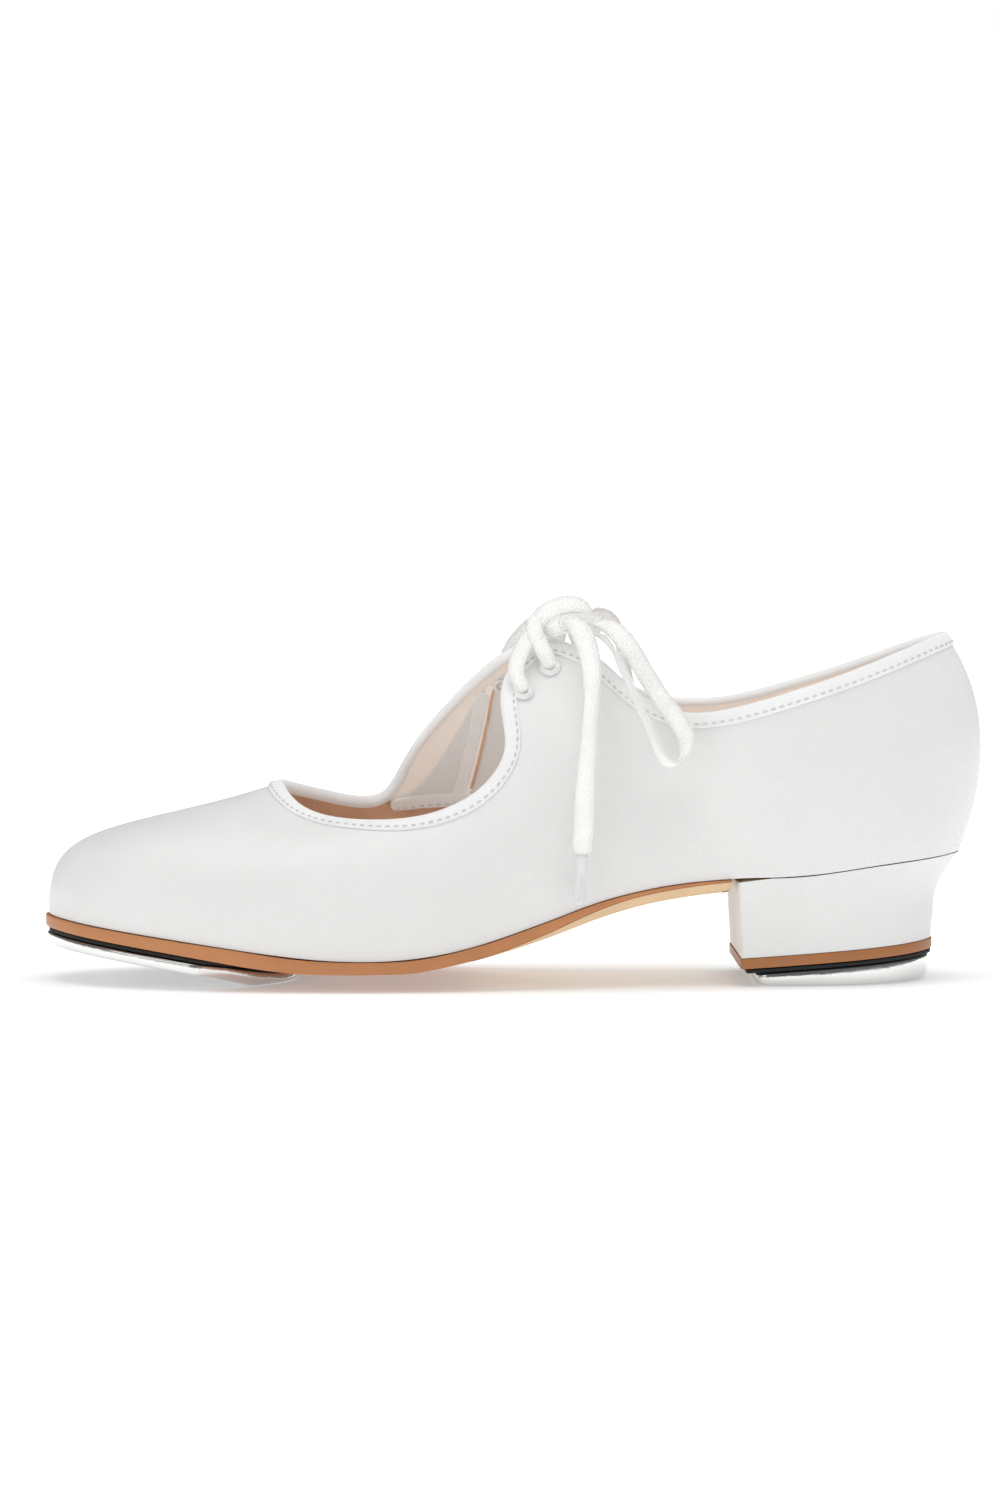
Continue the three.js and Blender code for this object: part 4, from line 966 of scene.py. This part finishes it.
def wall_shell(u0, u1, columns, outer_depth, wall, t_low=0.0, t_high=1.0, rows=24):
    """Closed layer of the wall, between two places round the shoe."""
    closed = u1 - u0 >= 1
    shares = np.linspace(0, 1, rows)
    levels = [(s, 0) for s in shares] + [(s, 1) for s in shares[::-1]]

    def place(u, row):
        share, inside = levels[row]
        around = u0 + u * (u1 - u0)
        high = t_high(around) if callable(t_high) else t_high
        low = t_low(around) if callable(t_low) else t_low
        t = low + (high - low) * share
        point, _, _, normal = wall_frame(around, t)
        depth = outer_depth + inside * wall
        return point - normal * depth
    return grid(columns, len(levels), place, closed_u=closed, closed_v=True,
                uv_size=(600.0 * (u1 - u0), 160.0))


class TAPSHOE_OT_upper(bpy.types.Operator):
    """Makes the white one-piece upper"""
    bl_idname = "tapshoe.upper"
    bl_label = "Upper"

    def execute(self, context):
        bm = wall_shell(0, 1, 560, 0, millimetres("upper_wall"), rows=44)
        upper = finish_piece(bm, "upper_shell", "white_coated_fabric",
                             replaces=("upper",), angle=50)
        cut_away(upper, join([barrel_cutters("outer"), barrel_cutters("inner")]))
        return {"FINISHED"}


STIFFENERS = {"toe_puff": (-0.105, 0.105), "heel_counter": (0.41, 0.59)}
STIFFENER_TOP = 1.25
LINING_TOP = 1.5
LINING_WALL = 0.7
VAMP_SPAN = (-0.18, 0.185)
BAND_HEIGHT = 46.4         # tape along the vamp's edge, inside the foot of the inner tab
BAND_SPAN = (0.79, 0.894)


def below_rim(down):
    """Share of the wall's height that lies so many mm below the rim."""
    def share(around):
        around = np.asarray(around, float)
        _, _, up, _ = wall_frame(around, np.ones_like(around))
        return 1 - down / np.linalg.norm(up, axis=-1)
    return share


def share_at_height(around, height):
    """Share of the wall's height at which it reaches a height in mm."""
    low = np.zeros_like(np.asarray(around, float))
    high = np.ones_like(low)
    for _ in range(22):
        middle = (low + high) / 2
        under = wall_point(around, middle)[..., 2] < height
        low, high = np.where(under, middle, low), np.where(under, high, middle)
    return (low + high) / 2


def band_share(around):
    """The vamp's edge inside the inner tab, as a share of the wall's height."""
    return share_at_height(around, BAND_HEIGHT)


def vamp_top(around):
    """The vamp lining runs under the inner tab as far as the taped edge."""
    turn = (np.asarray(around) + 1) % 1
    under_tab = (turn > 0.5) & (turn < BAND_SPAN[1])
    return np.where(under_tab, band_share(around), 1.0)


def quarter_foot(around):
    """The quarter lining starts above the taped edge at its front."""
    return ramp(around, 0.80, 0.02) * (band_share(around) - 0.015)


def inner_stay_top(around):
    """Top of the white stay: a slit of lining shows between it and the tape at the front."""
    slit = 5.2 * np.sin(math.pi * ramp(around, 0.795, 0.095) ** 1.2)
    _, _, up, _ = wall_frame(around, np.ones_like(around))
    top = 1 - (4.3 + slit) / np.linalg.norm(up, axis=-1)
    return np.maximum(top, inner_stay_foot(around) + 0.02)


def inner_stay_foot(around):
    return 0.45 + ramp(around, 0.76, 0.03) * (band_share(around) - 0.45)


def inside_route(places, depth):
    """Route on the inside of the wall through (u, t) places, and the way it faces."""
    u, t = np.array(places, float).T
    point, _, _, normal = wall_frame(u, t)
    return point - normal * depth, -normal


class TAPSHOE_OT_linings(bpy.types.Operator):
    """Makes the linings, the white stays in the tabs and the tapes that show in the throat"""
    bl_idname = "tapshoe.linings"
    bl_label = "Linings"

    def execute(self, context):
        start, end = VAMP_SPAN
        vamp = wall_shell(start, end, 240, LINING_TOP, LINING_WALL, t_high=vamp_top)
        finish_piece(vamp, "vamp_lining_leather", "tan_lining",
                     replaces=("vamp_lining",), angle=50)
        quarter = wall_shell(end, 0.893, 400, LINING_TOP, LINING_WALL, t_low=quarter_foot)
        quarter = finish_piece(quarter, "quarter_lining_leather", "cream_lining",
                               replaces=("quarter_lining",), angle=50)
        cut_away(quarter, join([barrel_cutters("outer"), barrel_cutters("inner")]))
        for name, (first, last) in STIFFENERS.items():
            board = wall_shell(first, last, 160, STIFFENER_TOP, 0.2, t_low=0.18, t_high=0.54)
            finish_piece(board, name + "_board", "stiffener_board", replaces=(name,), angle=50)
        depth = LINING_TOP + LINING_WALL + 0.2
        spans = {"outer": (0.21, 0.345, 0.5, below_rim(4.2)),
                 "inner": (0.665, 0.888, inner_stay_foot, inner_stay_top)}
        for side, (first, last, low, high) in spans.items():
            stay = wall_shell(first, last, 160, depth, 0.6, t_low=low, t_high=high, rows=20)
            stay = finish_piece(stay, f"tab_stay_{side}", "white_coated_fabric",
                                replaces=(f"tab_facing_{side}",), angle=50)
            cut_away(stay, barrel_cutters(side))
        self.throat_tapes()
        return {"FINISHED"}

    def throat_tapes(self):
        """Taped edge of the vamp inside the inner tab, and the seam tape that rises from it."""
        around = np.linspace(*BAND_SPAN, 24)
        places = [(u, float(band_share(u))) for u in around]
        route, facing = inside_route(places, 3.3)
        bm = ribbon(route, 3.8, 1.3, facing=facing)[0]
        finish_piece(bm, "vamp_edge_tape", "white_binding_tape")
        stitches = stitch_row(route + facing * 0.75 - np.array((0, 0, 0.9)), facing)
        finish_piece(stitches, "vamp_edge_stitches", "white_binding_tape", finish="white_thread")
        rise = [(0.834, 0.56), (0.827, 0.62), (0.818, 0.70), (0.808, 0.78), (0.798, 0.86),
                (0.789, 0.92)]
        # Beside the white seam tape lie a cream strip and a thin tan line. The cream strip is
        # lining that also stands in for the shade along the tape, and the tan line is a painted
        # shadow at its edge.
        for name, slot, shift, width, wall in (
                ("tab_seam_tape", "white_binding_tape", 0.0, 3.6, 0.9),
                ("tab_seam_lining_shade", "cream_lining", -0.0075, 2.6, 0.5),
                ("tab_seam_painted_shadow", "tan_lining", -0.0115, 0.7, 0.7)):
            route, facing = inside_route([(u + shift, t) for u, t in rise], 3.3)
            bm = ribbon(route, width, wall, facing=facing)[0]
            finish_piece(bm, name, slot)


BINDING_INSIDE = -2.3


def binding_section(depth):
    """Cross-section of the folded tape: distance below the rim and out from the wall."""
    outer = [(depth, 0.08), (depth - 0.04, 0.42), (depth - 0.3, 0.62), (depth - 0.9, 0.68),
             (depth * 0.5, 0.74), (0.9, 0.76), (0.35, 0.72), (-0.05, 0.52), (-0.32, 0.14),
             (-0.48, -0.36), (-0.52, -0.95), (-0.48, -1.55), (-0.32, -2.1), (0, -2.55), (0.5, -2.8)]
    inner = [(0.8, -2.84), (1.0, -2.8), (1.12, -2.64), (1.12, BINDING_INSIDE - 0.05),
             (0.95, BINDING_INSIDE), (0.5, BINDING_INSIDE), (0.25, -2.0), (0.1, -1.1),
             (0.15, -0.2), (0.5, 0.05)]
    return outer + inner


class TAPSHOE_OT_binding(bpy.types.Operator):
    """Makes the white tape folded over the top edge, with its row of stitches"""
    bl_idname = "tapshoe.binding"
    bl_label = "Binding"

    def execute(self, context):
        depth = millimetres("binding_depth")
        section = binding_section(depth)

        def place(u, row):
            down, out = section[row]
            return rim_offset(u, down, out)
        bm = grid(620, len(section), place, closed_v=True, uv_size=(600.0, 16.0))
        finish_piece(bm, "edge_binding_tape", "white_binding_tape",
                     replaces=("edge_binding",), angle=60)
        u = np.linspace(0, 1, 1401)
        line = rim_offset(u, depth - 0.95, 0.78)
        normals = rim_offset(u, depth - 0.95, 1.78) - line
        bm = stitch_row(line, normals)
        finish_piece(bm, "binding_stitches", "white_binding_tape", finish="white_thread")
        return {"FINISHED"}


class TAPSHOE_OT_eyelets(bpy.types.Operator):
    """Makes the four white enamelled eyelets"""
    bl_idname = "tapshoe.eyelets"
    bl_label = "Eyelets"

    def execute(self, context):
        profile = [(1.5, -3.4), (1.5, 0.6), (1.62, 0.95), (2.0, 1.2), (2.5, 1.15), (2.85, 0.85),
                   (3.0, 0.4), (2.9, 0.12), (1.9, 0.1), (1.9, -3.2), (2.4, -3.25), (2.5, -3.5),
                   (2.4, -3.8), (1.9, -3.9), (1.55, -3.7), (1.5, -3.4)]
        for name in EYELET_PLACES:
            spot, _, _, normal = eyelet_frame(name)
            bm = turned(profile, axis_matrix(spot, normal), steps=40)
            finish_piece(bm, name + "_enamelled", "white_enamel", replaces=(name,))
        return {"FINISHED"}


# ---- bottom
WALL_INSIDE = 4.4          # from the outside of the upper to the inside of its lining


def plan_between(inset, count, x_low=-math.inf, x_high=math.inf):
    """Closed plan of the shoe, cut straight across at one or both ends."""
    loop = outline(inset, start=0.5)
    loop = loop[(loop[:, 0] > x_low) & (loop[:, 0] < x_high)]
    return resample(loop, count)


SOLE_END = BREAST - 1.3
BEVEL_START = -12.0
BEVEL_RUN = 44.0
BEVEL_DEPTH = 2.5


def bevel_depth(x):
    """Height of the pale bevel along the waist of the sole."""
    return BEVEL_DEPTH * eased(ramp(x, BEVEL_START, BEVEL_RUN))


def sole_bottom(x):
    return underside_z(x) + bevel_depth(x)


def below(height, depth):
    """Height curve moved down by a depth in mm."""
    return lambda x: height(x) - depth


class TAPSHOE_OT_sole(bpy.types.Operator):
    """Makes the sole, the insole board and the sock lining"""
    bl_idname = "tapshoe.sole"
    bl_label = "Sole"

    def execute(self, context):
        loop = plan_between(-millimetres("sole_edge"), 520, x_high=SOLE_END)
        bm = slab(loop, below(feather_z, 0.3), sole_bottom, 0.35, 0.5, spine_end=34)
        finish_piece(bm, "outsole_resin", "tan_sole", replaces=("outsole",), angle=50)
        loop = plan_between(-millimetres("sole_edge"), 360, BEVEL_START, SOLE_END)
        bm = slab(loop, below(sole_bottom, -0.06), below(underside_z, 0.06), 0.04,
                  0.06 + bevel_depth(loop[:, 0]) * 0.9, spine_end=14)
        finish_piece(bm, "outsole_waist_bevel", "tan_sole", finish="sole_bevel", angle=50)
        loop = plan_between(WALL_INSIDE, 360)
        bm = slab(loop, below(feather_z, -3.5), below(feather_z, -1.5), 0.3, 0.3)
        finish_piece(bm, "insole_board_fibre", "stiffener_board", replaces=("insole_board",))
        loop = plan_between(WALL_INSIDE + 0.3, 360)
        bm = slab(loop, below(feather_z, -5.0), below(feather_z, -3.8), 0.5, 0.1)
        finish_piece(bm, "sock_lining_leather", "cream_lining", replaces=("sock_lining",))
        return {"FINISHED"}


HEEL_TAPER = 0.07          # share of its width that the heel loses from seat to toplift


def heel_bottom(x):
    return 7.2 + 0.072 * (x - BREAST)


def heel_back(s):
    """Length of the back of the heel, from its seat (0) to its toplift (1)."""
    sweep = 1 - (1 - s) * (1 - s)
    return HEEL_BACK + (112 - HEEL_BACK) * sweep - 1.2 * math.sin(math.pi * min(1, 1.4 * s))


def limits_at(x):
    """Outer and inner edge of the plan at a length."""
    loop = outline(0)
    lows, highs = loop[loop[:, 1] < 0], loop[loop[:, 1] >= 0]
    low = np.interp(x, *lows[np.argsort(lows[:, 0])].T)
    high = np.interp(x, *highs[np.argsort(highs[:, 0])].T)
    return low, high


def heel_loop(s, grow=0.0):
    """Plan of the heel at a level, with rounded corners at the breast."""
    share = np.sin(np.linspace(0, math.pi / 2, 90))
    low, high = limits_at(BREAST + (HEEL_BACK - 0.05 - BREAST) * share)
    front, back = BREAST + 1.2 * s, heel_back(s)
    x = front + (back - front) * share
    shrink = 1 - HEEL_TAPER * s
    loop = np.vstack([np.column_stack([x, low * shrink]),
                      np.column_stack([x, high * shrink])[::-1][1:]])
    loop = resample(loop, HEEL_POINTS, 3)
    along = unit(np.roll(loop, -1, 0) - np.roll(loop, 1, 0))
    return loop - np.column_stack([-along[:, 1], along[:, 0]]) * grow


class TAPSHOE_OT_heel(bpy.types.Operator):
    """Makes the covered heel block and its toplift"""
    bl_idname = "tapshoe.heel"
    bl_label = "Heel"

    def execute(self, context):
        levels = np.linspace(0, 1, 22)
        rings = [heel_loop(s) for s in levels]
        hollow = [heel_loop(s, grow=-0.8) for s in levels]

        def at_level(ring, s):
            wedge = 1 - ramp(ring[:, 0], BREAST, 9)
            top = feather_z(ring[:, 0]) - 0.3 - 0.9 * wedge
            bottom = heel_bottom(ring[:, 0])
            return np.column_stack([ring, top + (bottom - top) * s])
        rows = [at_level(r, s) for r, s in zip(rings, levels)]
        rows += [at_level(r, s) for r, s in zip(hollow[::-1], levels[::-1])]

        def place(u, row):
            return rows[row][np.rint(u * HEEL_POINTS).astype(int) % HEEL_POINTS]
        bm = grid(HEEL_POINTS, len(rows), place, closed_v=True, uv_size=(180.0, 60.0))
        finish_piece(bm, "heel_cover_cloth", "white_coated_fabric",
                     replaces=("heel_cover",), angle=45)
        lift = slab(heel_loop(1, grow=0.25), below(heel_bottom, 0.15), below(heel_bottom, 2.9),
                    0.25, 0.3)
        finish_piece(lift, "toplift_resin", "lift_resin", replaces=("toplift",))
        return {"FINISHED"}


def tap_arc(x, rear):
    """Half width of the toe tap's bulging rear edge."""
    return TAP_SPREAD * np.sqrt(np.maximum(rear - x, 0) / (TOE_TAP_REAR - TOE_TAP_CORNER))


def toe_tap_loop(inset, rear):
    """Plan of the toe tap: the sole's outline in front and an arc behind."""
    front = outline(inset, start=0.5)
    front = front[np.abs(front[:, 1]) < tap_arc(front[:, 0], rear)]
    half = np.abs(front[[0, -1], 1]).min()
    y = np.linspace(-half, half, 60)[1:-1] * np.sign(front[-1, 1])
    bulge = (TOE_TAP_REAR - TOE_TAP_CORNER) / TAP_SPREAD ** 2
    arc = np.column_stack([rear - bulge * y * y, y])[::-1]
    return resample(np.vstack([front, arc]), TOE_TAP_POINTS, 4)


def toe_tap_top(x):
    return underside_z(x) - 1.5


def toe_tap_bottom(x):
    behind = np.maximum(0, np.asarray(x) - TOE_TAP_CORNER)
    return np.maximum(0, toe_tap_top(x) - 3.0 - 0.14 * behind)


SCREWS = {
    "toe_tap_screw_outer": (-98, -15), "toe_tap_screw_inner": (-98, 20),
    "toe_tap_screw_rear": (-66, 0), "heel_tap_screw_outer": (70, -16),
    "heel_tap_screw_inner": (70, 16), "heel_tap_screw_rear": (102, 0),
}


def screw_base(name):
    x, y = SCREWS[name]
    level = float(toe_tap_bottom(x)) if name.startswith("toe") else 0.0
    return np.array((x, y, level))


def sink_cutters(start):
    """Countersinks for the screws of one tap."""
    cones = []
    for name in SCREWS:
        if name.startswith(start):
            profile = [(0, -3), (3.0, -3), (3.0, 0.9), (1.5, 2.1), (1.5, 9), (0, 9)]
            cones.append(turned(profile, axis_matrix(screw_base(name), (0, 0, 1)), steps=32))
    return join(cones)


HEEL_TAP_SETBACK = 5.0     # from the breast to the front edge of the heel tap


def set_back(loop, gap, soften):
    """Plan of the heel, its front edge moved back from the breast."""
    front = np.maximum(loop[:, 0], BREAST + gap)
    return resample(np.column_stack([front, loop[:, 1]]), len(loop), soften)


class TAPSHOE_OT_taps(bpy.types.Operator):
    """Makes the two metal taps, their sound boards and their screws"""
    bl_idname = "tapshoe.taps"
    bl_label = "Taps"

    def execute(self, context):
        board = slab(toe_tap_loop(0, TOE_TAP_REAR + 1), below(underside_z, 0.3),
                     below(underside_z, 1.2), 0.15, 0.15, spine_end=24)
        finish_piece(board, "toe_sound_board_fibre", "black_fibre_board",
                     replaces=("toe_sound_board",))
        loop = toe_tap_loop(-0.5, TOE_TAP_REAR)
        behind = ramp(loop[:, 0], TOE_TAP_CORNER + 5, 14)
        tap = slab(loop, toe_tap_top, toe_tap_bottom, 0.5 + 2.0 * behind, 0.7, spine_end=24)
        tap = finish_piece(tap, "toe_tap_alloy", "tap_aluminium", replaces=("toe_tap",), angle=50)
        cut_away(tap, sink_cutters("toe"))
        board = slab(set_back(heel_loop(1, grow=-0.1), HEEL_TAP_SETBACK / 2, 3),
                     below(heel_bottom, 3.2), below(heel_bottom, 4.1), 0.12, 0.12)
        finish_piece(board, "heel_sound_board_fibre", "black_fibre_board",
                     replaces=("heel_sound_board",))
        loop = set_back(heel_loop(1, grow=-0.5), HEEL_TAP_SETBACK, 60)
        behind = ramp(loop[:, 0], 82, 30)
        tap = slab(loop, below(heel_bottom, 4.4), np.zeros_like, 0.7, 1.0 + 1.1 * behind)
        tap = finish_piece(tap, "heel_tap_alloy", "tap_aluminium",
                           replaces=("heel_tap",), angle=50)
        cut_away(tap, sink_cutters("heel"))
        for name in SCREWS:
            self.screw(name)
        return {"FINISHED"}

    def screw(self, name):
        """One countersunk wood screw with a slotted head."""
        profile = [(0, 0.5), (2.35, 0.55), (2.6, 0.7), (2.6, 0.85), (1.1, 1.9)]
        for turn in np.arange(2.2, 5.6, 0.7):
            profile += [(1.1, turn), (0.8, turn + 0.2), (1.1, turn + 0.4)]
        profile += [(0.9, 6.2), (0, 7.0)]
        place = axis_matrix(screw_base(name), (0, 0, 1))
        piece = finish_piece(turned(profile, place, steps=32), name + "_steel", "steel", (name,),
                             f"{name}_body")
        slot = bmesh.new()
        bmesh.ops.create_cube(slot, size=1, matrix=place @ Matrix.Translation((0, 0, 0.5 * MM))
                              @ Matrix.Rotation(0.4, 4, "Z")
                              @ Matrix.Diagonal((7 * MM, 0.8 * MM, 0.9 * MM, 1)))
        cut_away(piece, slot)


HIDDEN_NODES = {
    "bottom_filler": "cork_filler", "shank": "steel", "heel_core": "heel_wood",
    "heel_screw": "steel", "heel_nail_1": "steel", "heel_nail_2": "steel",
    "heel_nail_3": "steel", "heel_nail_4": "steel",
}


class TAPSHOE_OT_hidden_parts(bpy.types.Operator):
    """Gives the enclosed parts of the frame their finishes"""
    bl_idname = "tapshoe.hidden_parts"
    bl_label = "Enclosed parts"

    def execute(self, context):
        for name, slot in HIDDEN_NODES.items():
            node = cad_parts[name]
            node.data.materials.clear()
            node.data.materials.append(finish_of(slot))
        return {"FINISHED"}


# ---- stage
LIGHTS = (                 # name, place, what it is turned to, size, power
    ("Overhead light", (0.0, -0.15, 1.5), (0, 0, 0.03), (1.4, 1.1), 11.0),
    ("Front light", (-1.6, -1.35, 0.5), (0, 0, 0.06), (1.4, 0.8), 3.2),
    ("Rear light", (0.7, 1.5, 1.1), (0, 0, 0.05), (1.2, 0.8), 5.0),
)
WORLD_SEEN = 1.0           # strength of the background as seen, as light and as mirrored
WORLD_LIGHT = 0.53
WORLD_MIRRORED = 0.14


def soft_box(name, place, aim, size, power):
    """Rectangular light turned towards a point."""
    data = bpy.data.lights.new(name, "AREA")
    data.shape = "RECTANGLE"
    data.size, data.size_y = size
    data.energy = power
    light = bpy.data.objects.new(name, data)
    light.location = place
    light.rotation_euler = (Vector(aim) - Vector(place)).to_track_quat("-Z", "Y").to_euler()
    bpy.context.scene.collection.objects.link(light)
    return light


class TAPSHOE_OT_stage(bpy.types.Operator):
    """Lays the white floor and sets the soft studio light"""
    bl_idname = "tapshoe.stage"
    bl_label = "Studio"

    def execute(self, context):
        bm = bmesh.new()
        bmesh.ops.create_grid(bm, x_segments=4, y_segments=4, size=4)
        mesh = bpy.data.meshes.new("Studio floor")
        bm.to_mesh(mesh)
        bm.free()
        floor = bpy.data.objects.new("Studio floor", mesh)
        floor.location = (0, 0, -0.0002)
        context.scene.collection.objects.link(floor)
        mesh.materials.append(paint_floor_glow(finish_of("floor")))
        for row in LIGHTS:
            soft_box(*row)
        world = bpy.data.worlds.new("Studio")
        world.use_nodes = True
        tree = world.node_tree
        background = tree.nodes["Background"]
        background.inputs["Color"].default_value = (*settings().background, 1)
        rays = add_node(tree, "LightPath").outputs
        mirrored = add_node(tree, "MapRange", {
            "Value": rays["Is Glossy Ray"], "To Min": WORLD_LIGHT,
            "To Max": WORLD_MIRRORED})
        strength = add_node(tree, "MapRange", {
            "Value": rays["Is Camera Ray"], "To Min": mirrored.outputs["Result"],
            "To Max": WORLD_SEEN})
        tree.links.new(strength.outputs["Result"], background.inputs["Strength"])
        context.scene.world = world
        context.scene.view_settings.view_transform = "Standard"
        return {"FINISHED"}


class TAPSHOE_PT_panel(bpy.types.Panel):
    """Lists the pieces of the shoe and their sizes"""
    bl_label = "Tap Shoe"
    bl_idname = "TAPSHOE_PT_panel"
    bl_space_type = "VIEW_3D"
    bl_region_type = "UI"
    bl_category = "Tap Shoe"

    def draw(self, context):
        for name in TapShoeSettings.__annotations__:
            self.layout.prop(context.scene.tap_shoe, name)
        for operator in OPERATORS:
            self.layout.operator(operator.bl_idname)


OPERATORS = (
    TAPSHOE_OT_camera, TAPSHOE_OT_free_lace, TAPSHOE_OT_knot, TAPSHOE_OT_upper,
    TAPSHOE_OT_linings, TAPSHOE_OT_binding, TAPSHOE_OT_eyelets, TAPSHOE_OT_sole,
    TAPSHOE_OT_heel, TAPSHOE_OT_taps, TAPSHOE_OT_hidden_parts, TAPSHOE_OT_stage,
)
CLASSES = (TapShoeSettings, *OPERATORS, TAPSHOE_PT_panel)


def register():
    for cls in CLASSES:
        bpy.utils.register_class(cls)
    bpy.types.Scene.tap_shoe = PointerProperty(type=TapShoeSettings)


def unregister():
    del bpy.types.Scene.tap_shoe
    for cls in reversed(CLASSES):
        bpy.utils.unregister_class(cls)


def main():
    register()
    for operator in OPERATORS:
        getattr(bpy.ops.tapshoe, operator.bl_idname.split(".")[1])()


if __name__ == "__main__":
    main()
